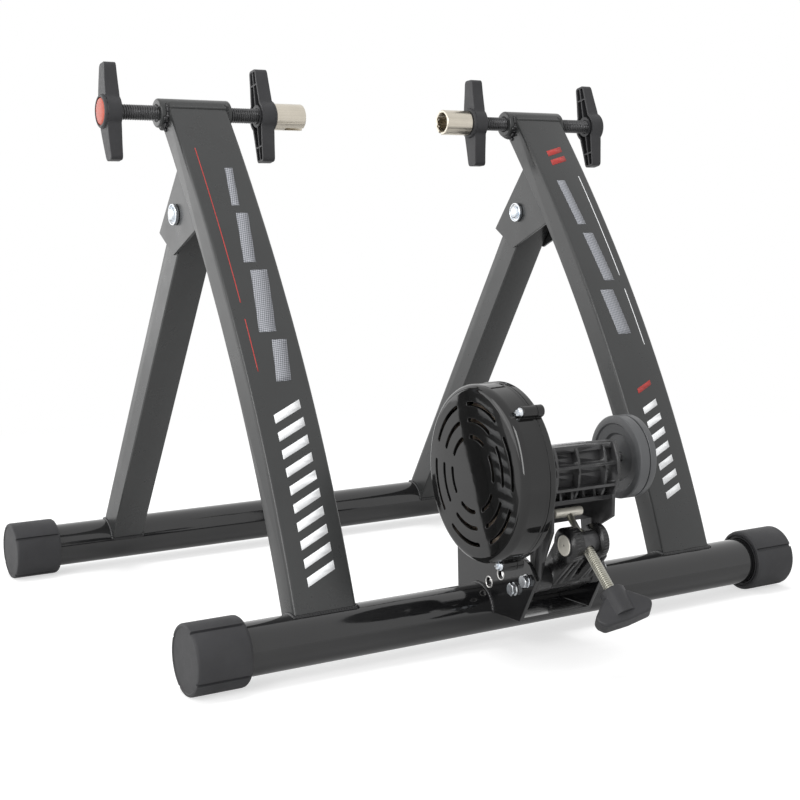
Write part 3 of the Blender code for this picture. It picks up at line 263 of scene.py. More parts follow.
X_LINES = (6.0, 900.0, 900.0)
LOOKS = {
    "satin_black_steel": coated("satin_paint", (0.03, 0.031, 0.031), 0.3, 0.05, 0.1, 520.0, 0.000035, 14.0,
                                Specular_IOR_Level=0.5),
    "gloss_black_steel": coated("gloss_paint", (0.008, 0.008, 0.0085), 0.11, 0.04, 0.2, 260.0, 0.00003, 20.0,
                                Coat_Weight=0.4, Coat_Roughness=0.05),
    "cap_rubber": coated("cap_rubber", (0.027, 0.027, 0.029), 0.56, 0.05, 0.14, 900.0, 0.00005, 40.0,
                         Specular_IOR_Level=0.42),
    "handle_plastic": coated("handle_plastic", (0.029, 0.029, 0.031), 0.48, 0.06, 0.12, 1100.0, 0.00005, 60.0,
                             Specular_IOR_Level=0.36),
    "mount_nylon": coated("mount_nylon", (0.01, 0.01, 0.0105), 0.3, 0.07, 0.2, 800.0, 0.00004, 70.0),
    "carrier_nylon": coated("carrier_nylon", (0.036, 0.036, 0.037), 0.34, 0.07, 0.2, 800.0, 0.00004, 70.0),
    "housing_plastic": coated("housing_plastic", (0.006, 0.006, 0.006), 0.05, 0.02, 0.15, 60.0, 0.00004,
                              30.0),
    "weld": coated("painted_weld", (0.01, 0.01, 0.011), 0.16, 0.05, 0.2, 700.0, 0.00012, 50.0),
    "black_thread": coated("black_thread", (0.085, 0.085, 0.087), 0.32, 0.06, 0.25, 900.0, 0.00003, 120.0,
                           Metallic=0.6),
    "cup_nickel": brushed("cup_nickel", (0.66, 0.61, 0.52), 0.27, X_LINES, 0.05, 0.06),
    "zinc": brushed("zinc", (0.84, 0.84, 0.84), 0.27, (500.0, 500.0, 60.0), 0.06, 0.12, 0.00002,
                    (0.78, 0.86, 0.95)),
    "cast_zinc": coated("cast_zinc", (0.78, 0.75, 0.67), 0.5, 0.05, 0.08, 500.0, 0.00003, 90.0,
                        Metallic=0.3),
    "cream_zinc": coated("cream_zinc", (0.8, 0.77, 0.68), 0.42, 0.05, 0.07, 500.0, 0.00002, 90.0,
                         Metallic=0.5),
    "thread_zinc": coated("thread_zinc", (0.52, 0.51, 0.45), 0.34, 0.05, 0.1, 500.0, 0.00002, 90.0,
                          Metallic=0.9),
    # Light metal used for a painted highlight: the bright rings that stand for the glint on the spare holes'
    # edges
    "painted_highlight_metal": brushed("painted_highlight_metal", (0.85, 0.84, 0.82), 0.32, (300.0, 300.0, 300.0), 0.05),
    "bright_steel": brushed("bright_steel", (0.6, 0.6, 0.61), 0.28, X_LINES, 0.06, 0.08),
    "aluminium": brushed("rotor_metal", (0.62, 0.5, 0.4), 0.36, (300.0, 300.0, 300.0), 0.06),
    "magnet_ring": coated("magnet_ring", (0.1, 0.085, 0.075), 0.5, 0.06, 0.2, 600.0, 0.00005, 60.0,
                          Metallic=0.6),
    "red_cap": coated("red_cap", (0.46, 0.07, 0.035), 0.34, 0.04, 0.07, 400.0, 0.00003, 90.0,
                      Specular_IOR_Level=0.4),
    "ink_red": coated("ink_red", (0.4, 0.035, 0.03), 0.4, 0.05, 0.08, 450.0, 0.00003, 30.0),
    "ink_white": coated("ink_white", (0.86, 0.87, 0.88), 0.42, 0.05, 0.05, 450.0, 0.00003, 30.0),
    "ink_grey": meshed("ink_grey", (0.38, 0.39, 0.42), (0.12, 0.125, 0.14), 0.0022),
    "flywheel": coated("flywheel_paint", (0.078, 0.08, 0.083), 0.38, 0.05, 0.1, 520.0, 0.00003, 25.0),
}


# Mesh helpers

CUT, ADD = "DIFFERENCE", "UNION"


def added(name, data):
    """A new object, linked into the scene."""
    made = bpy.data.objects.new(name, data)
    bpy.context.scene.collection.objects.link(made)
    return made


def local(y, z):
    """A matrix that puts local X along the world's X at a line of the side view."""
    return Matrix.Translation((0, y + SHIFT, z))


def axes(origin, first, second):
    """A matrix whose columns are two given directions and their cross product."""
    a = Vector(first).normalized()
    b = Vector(second).normalized()
    made = Matrix((a, b, a.cross(b))).transposed().to_4x4()
    made.translation = (origin[0], origin[1] + SHIFT, origin[2])
    return made


def finished(bm):
    bmesh.ops.remove_doubles(bm, verts=bm.verts, dist=1e-7)
    bmesh.ops.recalc_face_normals(bm, faces=bm.faces)
    mesh = bpy.data.meshes.new("mesh")
    bm.to_mesh(mesh)
    bm.free()
    return mesh


def rings(rows, closed_rows=False, caps=True):
    """A skin over rows of points that all have the same count; each row is a closed loop."""
    bm = bmesh.new()
    made = [[bm.verts.new(p) for p in row] for row in rows]
    pairs = list(zip(made, made[1:]))
    if closed_rows:
        pairs.append((made[-1], made[0]))
    count = len(made[0])
    for low, high in pairs:
        for i in range(count):
            j = (i + 1) % count
            bm.faces.new((low[i], low[j], high[j], high[i]))
    if caps and not closed_rows:
        bm.faces.new(made[0][::-1])
        bm.faces.new(made[-1])
    return finished(bm)


def lathe(profile, sides, matrix=None, closed=True):
    """A profile of (radius, x) turned about local X. A closed profile makes a ring."""
    angles = [2 * pi * (k + 0.5) / sides for k in range(sides)]
    rows = [[Vector((x, r * cos(a), r * sin(a))) for a in angles] for r, x in profile]
    mesh = rings(rows, closed_rows=closed, caps=not closed)
    mesh.transform(matrix or Matrix())
    return mesh


def rod(radius, low, high, sides=32, matrix=None):
    """A plain round bar along local X."""
    return lathe([(radius, low), (radius, high)], sides, matrix, closed=False)


def prism(outline, low, high, matrix=None):
    """An outline of (y, z) points extruded along local X."""
    rows = [[Vector((x, y, z)) for y, z in outline] for x in (low, high)]
    mesh = rings(rows)
    mesh.transform(matrix or Matrix())
    return mesh


def box(low, high, matrix=None):
    outline = [(low[1], low[2]), (high[1], low[2]), (high[1], high[2]), (low[1], high[2])]
    return prism(outline, low[0], high[0], matrix)


def merged(*meshes):
    bm = bmesh.new()
    for mesh in meshes:
        bm.from_mesh(mesh)
    return finished(bm)


def solid(mesh, *steps):
    """The mesh after a run of booleans, each given as (operation, mesh)."""
    thing = added("work", mesh)
    others = []
    for operation, other in steps:
        second = added("other", other)
        step = thing.modifiers.new("step", "BOOLEAN")
        step.operation = operation
        step.object = second
        step.solver = "EXACT"
        others.append(second)
    bpy.context.view_layer.update()
    made = bpy.data.meshes.new_from_object(thing.evaluated_get(bpy.context.evaluated_depsgraph_get()))
    for used in (thing, *others):
        bpy.data.objects.remove(used)
    return tidy(made)


def tidy(mesh, flat=0.5):
    """Welds a mesh and turns its flat areas back into single faces."""
    weld = 2e-6
    bm = bmesh.new()
    bm.from_mesh(mesh)
    bmesh.ops.remove_doubles(bm, verts=bm.verts, dist=weld)
    if flat:
        bmesh.ops.dissolve_limit(bm, angle_limit=radians(flat), verts=bm.verts, edges=bm.edges)
    bmesh.ops.dissolve_degenerate(bm, edges=bm.edges, dist=weld)
    return finished(bm)


def sliced(bm, place, normal):
    """Adds edges where a plane crosses the mesh."""
    bmesh.ops.bisect_plane(bm, geom=bm.verts[:] + bm.edges[:] + bm.faces[:], plane_co=place, plane_no=normal)


def bevelled(mesh, width, where, segments):
    """Rounds the edges for which where(a, b) holds, with a and b the ends."""
    bm = bmesh.new()
    bm.from_mesh(mesh)
    edges = [e for e in bm.edges if len(e.link_faces) == 2 and e.calc_face_angle(0) > radians(30)
             and where(e.verts[0].co, e.verts[1].co)]
    bmesh.ops.bevel(bm, geom=edges, offset=width, segments=segments, profile=0.5, affect="EDGES",
                    clamp_overlap=True)
    return finished(bm)


def smooth_line(points, rounds):
    """Cuts the corners of an open polyline, as often as said."""
    for _ in range(rounds):
        made = [points[0]]
        for a, b in zip(points, points[1:]):
            made.append(tuple(u * 0.75 + v * 0.25 for u, v in zip(a, b)))
            made.append(tuple(u * 0.25 + v * 0.75 for u, v in zip(a, b)))
        points = made + [points[-1]]
    return points


def arc(centre, radius, start, end, count):
    angles = [radians(start + (end - start) * i / count) for i in range(count + 1)]
    return [(centre[0] + radius * cos(a), centre[1] + radius * sin(a)) for a in angles]


def put(name, mesh, look, body, node=None, bevel=0.0, segments=2, angle=35.0):
    """Adds one visible piece: it rides on a body and may stand for a CAD node."""
    mesh.name = name
    mesh.materials.clear()
    mesh.materials.append(LOOKS[look])
    mesh.shade_smooth()
    made = added(name, mesh)
    if bevel:
        step = made.modifiers.new("edges", "BEVEL")
        step.width = bevel
        step.segments = segments
        step.limit_method = "ANGLE"
        step.angle_limit = radians(angle)
        step.use_clamp_overlap = False
        step = made.modifiers.new("normals", "WEIGHTED_NORMAL")
        step.keep_sharp = True
    else:
        mesh.set_sharp_from_angle(angle=radians(angle))
    if node:
        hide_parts(node)
    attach(made, body)
    return made


def skin(node, mesh, look, body, *edges, **more):
    """Adds the visible piece that stands for one CAD node."""
    return put(node + "_skin", mesh, look, body, node, *edges, **more)


def refined(node, look, bevel, segments=2, angle=35.0, flat=0.5):
    """A cleaned copy of a CAD node with softened edges, in the node's place."""
    source = frame["nodes"][node]
    mesh = tidy(source.data.copy(), flat=flat)
    return skin(node, mesh, look, source["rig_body"], bevel, segments, angle)


# Curve of the uprights

def front_y(z):
    return CURVE[0] + CURVE[1] * (z - CURVE[3]) + CURVE[2] * (z - CURVE[3]) ** 2


def front_slope(z):
    return CURVE[1] + 2 * CURVE[2] * (z - CURVE[3])


def behind_front(z, depth):
    """The (y, z) place at a depth behind the front of an upright."""
    length = hypot(front_slope(z), 1)
    return front_y(z) + depth / length, z - depth * front_slope(z) / length


def head_height():
    """The height on the front curve that lies nearest to the axle."""
    z = AXLE[1]
    for _ in range(20):
        slope = front_slope(z)
        z += ((AXLE[0] - front_y(z)) * slope + AXLE[1] - z) / (1 + slope ** 2)
    return z


HEAD_Z = head_height()


def make_upright(hand, x):
    """A curved box section with rounded corners, let into the tube below and the sleeve above."""
    low = TUBE_Z - TUBE_R * 0.45
    corner = 0.003
    half = UPRIGHT_HALF
    section = []
    for cx, cd, start in ((half - corner, corner, -90), (half - corner, UPRIGHT_DEPTH - corner, 0),
                          (corner - half, UPRIGHT_DEPTH - corner, 90), (corner - half, corner, 180)):
        section += arc((cx, cd), corner, start, start + 90, 4)
    rows = []
    for k in range(49):
        z = low + (HEAD_Z - low) * k / 48
        rows.append([Vector((x + u, *behind_front(z, d))) for u, d in section])
    mesh = rings(rows)
    hole = rod(SLEEVE_R - 0.002, x - 0.05, x + 0.05, 32, Matrix.Translation((0, *AXLE)))
    mesh = solid(mesh, (CUT, hole))
    mesh.transform(Matrix.Translation((0, SHIFT, 0)))
    skin(hand + "_upright", mesh, "satin_black_steel", "frame", angle=30)


def make_sleeve(hand, x):
    """A thick round sleeve with rounded ends and chamfered bore."""
    h, r, b = SLEEVE_HALF, SLEEVE_R, ROD_R + GAP
    edge = 0.0016
    corner = arc((r - edge, h - edge), edge, 0, 90, 4)
    half_profile = corner + [(b + 0.0009, h), (b, h - 0.0009)]
    profile = half_profile + [(p, -q) for p, q in reversed(half_profile)]
    mesh = lathe([(p, q + x) for p, q in profile], 64, local(*AXLE))
    skin(hand + "_sleeve", mesh, "satin_black_steel", "frame")


# Welds

def bead(name, points, radius, body, ripple=0.22, *, seed, closed=False, sides=10, look="weld"):
    """A rippled weld bead along a path of world points."""
    dense = []
    run = points + points[:1] if closed else points
    for a, b in zip(run, run[1:]):
        count = max(1, int((b - a).length / BEAD_STEP))
        dense += [a.lerp(b, i / count) for i in range(count)]
    if not closed:
        dense.append(run[-1])
    rows = []
    travelled = 0.0
    for i, p in enumerate(dense):
        before = dense[i - 1] if i or closed else p
        after = dense[(i + 1) % len(dense)] if i + 1 < len(dense) or closed else p
        forward = (after - before).normalized()
        side = forward.orthogonal() if abs(forward.x) > 0.9 else forward.cross(Vector((1, 0, 0)))
        side.normalize()
        other = forward.cross(side)
        travelled += (p - before).length
        wave = 0.5 + 0.5 * cos(2 * pi * travelled / BEAD_RIPPLE)
        bump = noise.noise(p * 260.0 + Vector((seed, 0, 0)))
        r = radius * (1 - ripple * wave ** 2 + 0.22 * bump)
        if not closed:
            r *= min(1.0, 0.25 + min(i, len(dense) - 1 - i) * BEAD_STEP / radius * 0.8)
        angles = [2 * pi * k / sides for k in range(sides)]
        rows.append([p + (side * cos(a) + other * sin(a)) * r for a in angles])
    put(name, rings(rows, closed_rows=closed), look, body, angle=80)


def round_point(x, angle, radius, y, z):
    """A world point on a round bar along X whose axis lies at y and z."""
    a = radians(angle)
    return Vector((x, y + SHIFT + radius * cos(a), z + radius * sin(a)))


def tube_point(x, angle, y=0.0):
    return round_point(x, angle, TUBE_R, y, TUBE_Z)


def foot_loop(x, half, start, end, y=0.0):
    """The closed line where a box section stands on a floor tube."""
    xs = [x - half + 2 * half * i / 6 for i in range(7)]
    angles = [start + (end - start) * i / 10 for i in range(11)]
    return ([tube_point(u, start, y) for u in xs] + [tube_point(x + half, a, y) for a in angles[1:]]
            + [tube_point(u, end, y) for u in reversed(xs[:-1])]
            + [tube_point(x - half, a, y) for a in reversed(angles[1:-1])])


def weld_side(side, x):
    """The beads of one upright: at its foot, leg, sleeve and bracket."""
    bead(side + "_foot_weld", foot_loop(x, UPRIGHT_HALF, 108.5, 39.0), 0.0017, "frame", closed=True, seed=3)
    leg_foot = foot_loop(x, LEG_HALF, 78.8, 171.8, REAR_Y)
    bead(side + "_leg_weld", leg_foot, 0.0016, "rear_frame", closed=True, seed=5)
    lean = degrees(atan(front_slope(HEAD_Z)))
    for end, u in (("outer", x - UPRIGHT_HALF), ("inner", x + UPRIGHT_HALF)):
        line = [round_point(u, 176 - lean + 188 * i / 16, SLEEVE_R, *AXLE) for i in range(17)]
        bead(f"{side}_sleeve_weld_{end}", line, 0.0022, "frame", 0.3, seed=7)
    for k, (u, angle, radius, off) in enumerate(SLEEVE_LUMPS):
        here = round_point(x + u, angle, SLEEVE_R + off, *AXLE)
        bead(f"{side}_sleeve_lump_{k + 1}", [here, here + Vector((0.0048, 0.001, -0.0006))], radius, "frame",
             0.4, seed=21 + k, sides=14)
    y, z = behind_front(HEAD_Z - 0.0042, 0.0001)
    fillet = [Vector((x + 0.024 * (i / 8 - 1), y + SHIFT, z)) for i in range(17)]
    fillet.append(Vector((x + 0.0252, y + SHIFT + 0.003, z - 0.002)))
    fillet.append(Vector((x + 0.0256, y + SHIFT + 0.0075, z - 0.006)))
    bead(side + "_sleeve_weld_front", fillet, 0.0012, "frame", 0.2, seed=17, look="satin_black_steel")
    back = [behind_front(0.388 - 0.0065 * i, UPRIGHT_DEPTH) for i in range(8)]
    for end, u in (("", -0.0182), ("_right", 0.0182)):
        line = [Vector((x + u, y + SHIFT, z)) for y, z in back]
        bead(f"{side}_bracket_weld{end}", line, 0.0011, "frame", seed=9)


def weld_unit():
    """The beads of the unit's bracket round the front tube."""
    left = UNIT_X - BRACKET_HALF
    for name, x, count, seed in (("left", left, 17, 11), ("right", UNIT_X + BRACKET_HALF, 8, 12)):
        line = [tube_point(x, 182 - 10 * i) for i in range(count)]
        bead("unit_weld_" + name, line, 0.0018, "frame", seed=seed)
    line = [tube_point(left + 0.001 + i * 0.007, 181) for i in range(10)]
    bead("unit_weld_base", line, 0.0015, "frame", seed=13)


# Floor tubes and caps

def make_tubes():
    """The two open tubes along the floor."""
    for node, y, body in (("front_tube", 0.0, "frame"), ("rear_tube", REAR_Y, "rear_frame")):
        r = TUBE_R
        profile = [(r, -TUBE_HALF), (r, TUBE_HALF), (r - 0.0015, TUBE_HALF), (r - 0.0015, -TUBE_HALF)]
        skin(node, lathe(profile, 96, local(y, TUBE_Z)), "gloss_black_steel", body)


def make_cap(node, side, y, turn, body):
    """A moulded cap with four narrow grooves, a recessed end face and a stepped mouth."""
    end = CAP_END
    mouth = end - CAP_LENGTH
    r = CAP_R
    width = radians(2.0)
    grooves = [radians(turn + 90 * k) for k in range(4)]

    def off(angle, groove):
        return abs(remainder(angle - groove, 2 * pi))

    angles = [radians(k * 3.75) for k in range(96)]
    angles = [a for a in angles if min(off(a, g) for g in grooves) > 2.2 * width]
    angles += [g + share * width for g in grooves for share in (-1.5, -1, 0, 1, 1.5)]
    angles = sorted(a % (2 * pi) for a in angles)
    bore = TUBE_R + GAP
    profile = [  # radius, x, depth of the groove there
        (0.0002, end - 0.0005, 0), (0.0224, end - 0.0005, 0), (0.0229, end, 0), (r - 0.0015, end, 0.001),
        (r - 0.0006, end - 0.0003, 0.0014), (r - 0.0001, end - 0.0012, 0.0015), (r, end - 0.0022, 0.0015),
        (r, mouth + 0.003, 0.0015), (r - 0.0002, mouth + 0.0016, 0.0008), (r - 0.0011, mouth + 0.0003, 0.0),
        (r - 0.0022, mouth, 0), (r - 0.003, mouth, 0), (r - 0.0034, mouth + 0.0014, 0),
        (r - 0.0044, mouth + 0.0014, 0), (r - 0.0048, mouth + 0.0002, 0), (bore + 0.0002, mouth + 0.0002, 0),
        (bore, mouth + 0.001, 0), (bore, end - 0.004, 0), (0.0002, end - 0.004, 0)]
    rows = []
    for radius, x, depth in profile:
        row = []
        for a in angles:
            cut = depth if min(off(a, g) for g in grooves) < 1.1 * width else 0.0
            row.append(Vector((side * x, (radius - cut) * cos(a), (radius - cut) * sin(a))))
        rows.append(row)
    mesh = rings(rows)
    mesh.transform(local(y, TUBE_Z))
    skin(node, mesh, "cap_rubber", body, angle=28)


# Threads and clamps

def thread(low, high, major, minor, pitch, matrix, sides=28, per=8):
    """A threaded rod along local X between two places."""
    count = int(round((high - low) / pitch * per))
    rows = []
    for i in range(count + 1):
        x = low + (high - low) * i / count
        end = min(x - low, high - x)
        row = []
        for k in range(sides):
            share = (x / pitch - k / sides) % 1.0
            wave = min(1.0, max(0.0, 1.75 - abs(share - 0.5) * 5.0))
            r = min(minor + (major - minor) * wave, minor * 0.97 + end)
            a = 2 * pi * k / sides
            row.append(Vector((x, r * cos(a), r * sin(a))))
        rows.append(row)
    mesh = rings(rows)
    mesh.transform(matrix)
    return mesh


def handle_line():
    """The outline of a two-armed handle as (along, across) points."""
    flank = [(HUB_R * sin(radians(48)), HUB_R * cos(radians(48))), (0.014, 0.0091),
             (0.0243, 0.0076), (0.0362, 0.0065)]
    start = [(HUB_R * sin(radians(a)), HUB_R * cos(radians(a))) for a in range(0, 41, 8)]
    corner = arc((ARM_REACH - 0.003, 0.0034), 0.003, 90, 0, 4)
    quarter = start + smooth_line(flank, 2) + corner[1:]
    first = quarter + [(u, -v) for u, v in reversed(quarter)]
    return first + [(-u, -v) for u, v in first[1:-1]]


def inset(line, distance):
    """The outline moved inwards; the line runs round its inside."""
    area = sum(a[0] * b[1] - b[0] * a[1] for a, b in zip(line, line[1:] + line[:1]))
    sign = 1 if area > 0 else -1
    made = []
    for i, p in enumerate(line):
        a, b = line[i - 1], line[(i + 1) % len(line)]
        dx, dy = b[0] - a[0], b[1] - a[1]
        length = hypot(dx, dy)
        made.append((p[0] - sign * dy / length * distance, p[1] + sign * dx / length * distance))
    return made


def thinned(mesh, start, reach, share):
    """The handle with its front drawn back along both arms, most at the tips."""
    bm = bmesh.new()
    bm.from_mesh(mesh)
    for k in range(1, 7):
        for y in (start + (reach - start) * k / 7, -start - (reach - start) * k / 7):
            sliced(bm, (0, y, 0), (0, 1, 0))
    for v in bm.verts:
        along = max(0.0, abs(v.co.y) - start) / (reach - start)
        v.co.x *= 1 - share * along ** 1.4
    return finished(bm)


def make_handle(node, back_x, side, tilt, body, through):
    """A hand screw: rounded front, hollow back with ribs and a boss round the rod."""
    t = radians(tilt)
    matrix = axes((back_x, *AXLE), (side, 0, 0), (0, sin(t), cos(t)))
    line = handle_line()
    front = ARM_THICK
    plate = bevelled(prism(line, 0, front), 0.0026, lambda a, b: min(a.x, b.x) > front - 1e-5, 4)
    dome = lathe([(HUB_R - 0.0004, 0.004), (HUB_R - 0.0004, HUB_THICK - 0.0016),
                  (HUB_R - 0.0009, HUB_THICK - 0.0005), (HUB_R - 0.002, HUB_THICK)], 64, closed=False)
    pocket = prism(inset(line, 0.0021), -0.002, 0.008)
    reach = ARM_REACH
    keep = [box((-0.003, -reach, -0.0008), (0.02, reach, 0.0008))]
    for y in (-0.0262, 0.0262):
        keep.append(box((-0.003, y - 0.0008, -0.02), (0.02, y + 0.0008, 0.02)))
    keep.append(rod(0.0094, -0.003, 0.02, 40))
    pocket = solid(pocket, *[(CUT, k) for k in keep])
    bore = rod(ROD_R + GAP, -0.01, 0.03 if through else 0.0087, 40)
    steps = [(ADD, dome), (CUT, pocket), (CUT, bore)]
    if not through:
        steps.append((CUT, rod(0.0111, HUB_THICK - 0.0025, 0.03, 48)))
    mesh = thinned(solid(plate, *steps), HUB_R * 0.8, reach, 0.06 if through else 0.18)
    mesh.transform(matrix)
    skin(node, mesh, "handle_plastic", body, 0.0003, 2, 40)


def make_clamp(hand, side, tilts):
    """One axle clamp: screw, outer handle with its cap, lock knob and cup."""
    body = hand + "_screw"
    matrix = axes((0, *AXLE), (side, 0, 0), (0, 0, 1))
    nose = rod(0.004, CUP_FACE + 0.0198, CUP_BACK + 0.0004, 32, matrix)
    shank = thread(CUP_BACK + GAP, HANDLE_BACK + 0.0084, ROD_R, ROD_R - 0.001, 0.002, matrix)
    skin(hand + "_rod", merged(nose, shank), "black_thread", body, angle=50)
    make_handle(hand + "_handle", side * HANDLE_BACK, side, tilts[0], body, False)
    knob_back = side * (CUP_BACK + GAP + HUB_THICK)
    make_handle(hand + "_lock_knob", knob_back, -side, tilts[1], hand + "_lock", True)
    seat = HANDLE_BACK + HUB_THICK
    dome = [(0.0108 * sin(a), seat - 0.0008 + 0.0016 * cos(a))
            for a in [pi / 2 * k / 6 for k in range(6, 0, -1)]]
    mesh = lathe([(0.0106, seat - 0.0022)] + dome + [(0.0003, seat + 0.0008)], 64, matrix, closed=False)
    skin(hand + "_handle_cap", mesh, "red_cap", body, angle=40)
    make_cup(hand, matrix)


def make_cup(hand, matrix):
    """A nickel-plated socket with a slot, two scored lines and a notched mouth."""
    f, b, r = CUP_FACE, CUP_BACK, 0.0112
    profile = [(r - 0.0005, b), (r, b - 0.0005), (r, f + 0.0012), (r - 0.0002, f + 0.0005), (r - 0.0008, f),
               (0.009, f), (0.0083, f + 0.001), (0.0083, f + 0.0195), (0.0043, f + 0.0195), (0.0043, b)]
    mesh = lathe(profile, 72)
    cuts = []
    for k in range(8):
        turn = Matrix.Rotation(radians(22.5 + 45 * k), 4, "X")
        cuts.append((CUT, box((f - 0.001, -0.0007, 0.0075), (f + 0.0018, 0.0007, 0.0092), turn)))
    for angle, width, depth, end in ((112, 0.0036, 0.0105, 0.017), (70, 0.0006, r - 0.0004, 0.026),
                                     (150, 0.0006, r - 0.0004, 0.026)):
        turn = Matrix.Rotation(radians(angle), 4, "X")
        near = 0.006 if width > 0.001 else depth
        cuts.append((CUT, box((f - 0.001, -width / 2, near), (f + end, width / 2, 0.02), turn)))
    mesh = solid(mesh, *cuts)
    mesh.transform(matrix)
    skin(hand + "_axle_cup", mesh, "cup_nickel", hand + "_cup", 0.0002, 1, 40)


# Fasteners

def hexagon(across, height, matrix, chamfer=0.0007, hole=0.0):
    """A hexagon head or nut along local X from 0, chamfered on its far side."""
    flat = across / 2
    angles = [2 * pi * k / 24 for k in range(24)]
    edges = [flat / cos(remainder(a, pi / 3)) for a in angles]
    rows = [[(0, edge) for edge in edges],
            [(height - chamfer + chamfer * 0.8 - (edge - flat) * 0.72, edge) for edge in edges],
            [(height, flat * 0.96) for edge in edges]]
    rows = [[Vector((x, r * cos(a), r * sin(a))) for (x, r), a in zip(row, angles)] for row in rows]
    mesh = rings(rows)
    if hole:
        mesh = solid(mesh, (CUT, rod(hole, -0.05, 0.05)))
    mesh.transform(matrix)
    return mesh


def make_fold_bolts():
    """Flange nuts with a raised rim round a shallow recess, on bolts with rounded ends."""
    nut = [(0.0053, 0), (0.0084, 0), (0.0088, 0.0004), (0.0088, 0.0025), (0.0085, 0.003), (0.0079, 0.003),
           (0.0076, 0.0027), (0.0073, 0.0018), (0.0064, 0.0017), (0.0061, 0.002), (0.006, 0.0034),
           (0.0057, 0.0039), (0.0053, 0.004)]
    tip = [(0.0044, 0.003), (0.005, 0.0036), (0.0048, 0.0042), (0.0036, 0.0046), (0.0003, 0.0048)]
    nut, tip = [[(r, FOLD_FACE + u) for r, u in profile] for profile in (nut, tip)]
    for hand, x in (("left", -UPRIGHT_X), ("right", UPRIGHT_X)):
        left, right = [axes((x, *FOLD), (way, 0, 0), (0, 0.3, 0.95)) for way in (-1, 1)]
        skin(hand + "_fold_nut", lathe(nut, 56, left), "zinc", "frame", angle=30)
        shank = thread(-FOLD_FACE - 0.001, FOLD_FACE + 0.0034, 0.005, 0.0044, 0.0015, left, 24, 6)
        head = hexagon(0.016, 0.0055, right @ Matrix.Translation((FOLD_FACE, 0, 0)))
        bolt = merged(shank, lathe(tip, 32, left, closed=False), head)
        skin(hand + "_fold_bolt", bolt, "zinc", "frame", angle=30)


def make_unit_bolts():
    """The swing and lock bolts, their nuts, and bright metal rings at the spare holes beside them, which are
    a painted highlight on the holes' edges.
    """
    outside = BRACKET_HALF + GAP
    flange = [(0.005, outside), (0.005, outside + 0.0004), (0.0046, outside + 0.001)]
    turns = [2 * pi * k / 8 for k in range(8)]
    rim = [(0.0042 + 0.0006 * cos(a), UNIT_X - BRACKET_HALF + 0.0005 * sin(a)) for a in turns]
    for name, (y, z), turn in (("swing", SWING, 0.2), ("lock", LOCK, 0.7)):
        left, right = [axes((UNIT_X, y, z), (way, 0, 0), (0, sin(turn), cos(turn))) for way in (-1, 1)]
        seat = left @ Matrix.Translation((outside + 0.0009, 0, 0))
        head = hexagon(UNIT_BOLT_ACROSS, 0.003, seat, 0.0006)
        shank = thread(-outside - 0.006, outside, 0.003, 0.0026, 0.001, left, 20, 6)
        bolt = merged(lathe(flange, 40, left, closed=False), head, shank)
        skin(name + "_bolt", bolt, "zinc", "frame", angle=30)
        seat = right @ Matrix.Translation((outside, 0, 0))
        nut = hexagon(UNIT_BOLT_ACROSS, 0.005, seat, hole=0.0033)
        skin(name + "_nut", nut, "zinc", "frame", angle=30)
        hole = local(y + SPARE_HOLE[0], z + SPARE_HOLE[1])
        # A bright metal ring round each spare hole: a painted highlight on the hole's edge
        put(name + "_spare_hole_highlight_rim", lathe(rim, 40, hole), "painted_highlight_metal", "frame", angle=80)


# Housing with its brake

def slot_line(radius, half, low, high):
    """A curved slot with round ends, about the roller's axis."""
    ends = []
    for angle, first in ((high, high), (low, low + 180)):
        c = (radius * cos(radians(angle)), radius * sin(radians(angle)))
        ends.append(arc(c, half, first, first + 180, 6))
    line = arc((0, 0), radius + half, low, high, 14) + ends[0][1:-1]
    return line + arc((0, 0), radius - half, high, low, 14) + ends[1][1:-1]


def cover_mesh():
    """The cover without its bosses and slots: a low dome with a rounded corner."""
    r, inner, reach = COVER_R, COVER_R - COVER_WALL, COVER_R - COVER_ROUND
    low = COVER_FACE + COVER_RISE
    outside = [(reach - 0.0005 + COVER_ROUND * cos(a), low + COVER_ROUND * (1 - sin(a)))
               for a in [pi / 2 * k / 8 for k in range(9)]]
    outside += [(reach * k / 12, COVER_FACE + COVER_RISE * (k / 12) ** 3.4) for k in range(11, 0, -1)]
    inside = [(0.0004, COVER_FACE), (0.0004, COVER_FACE + COVER_WALL), (reach - COVER_WALL, low + COVER_WALL),
              (inner, low + COVER_ROUND), (inner, COVER_SEAM)]
    edge = [(r, COVER_SEAM), (r, COVER_SEAM - 0.0022), (r - 0.0005, COVER_SEAM - 0.0028)]
    return lathe(edge + outside + inside, 120)


def shell_mesh():
    """The back shell without its bosses."""
    r, inner, back = COVER_R, COVER_R - COVER_WALL, SHELL_BACK
    return lathe([(r - 0.0012, back), (r - 0.0003, back - 0.0005), (r, back - 0.0014), (r, COVER_SEAM + GAP),
                  (inner, COVER_SEAM + GAP), (inner, back - 0.003), (0.0046, back - 0.003),
                  (0.0046, back)], 120)


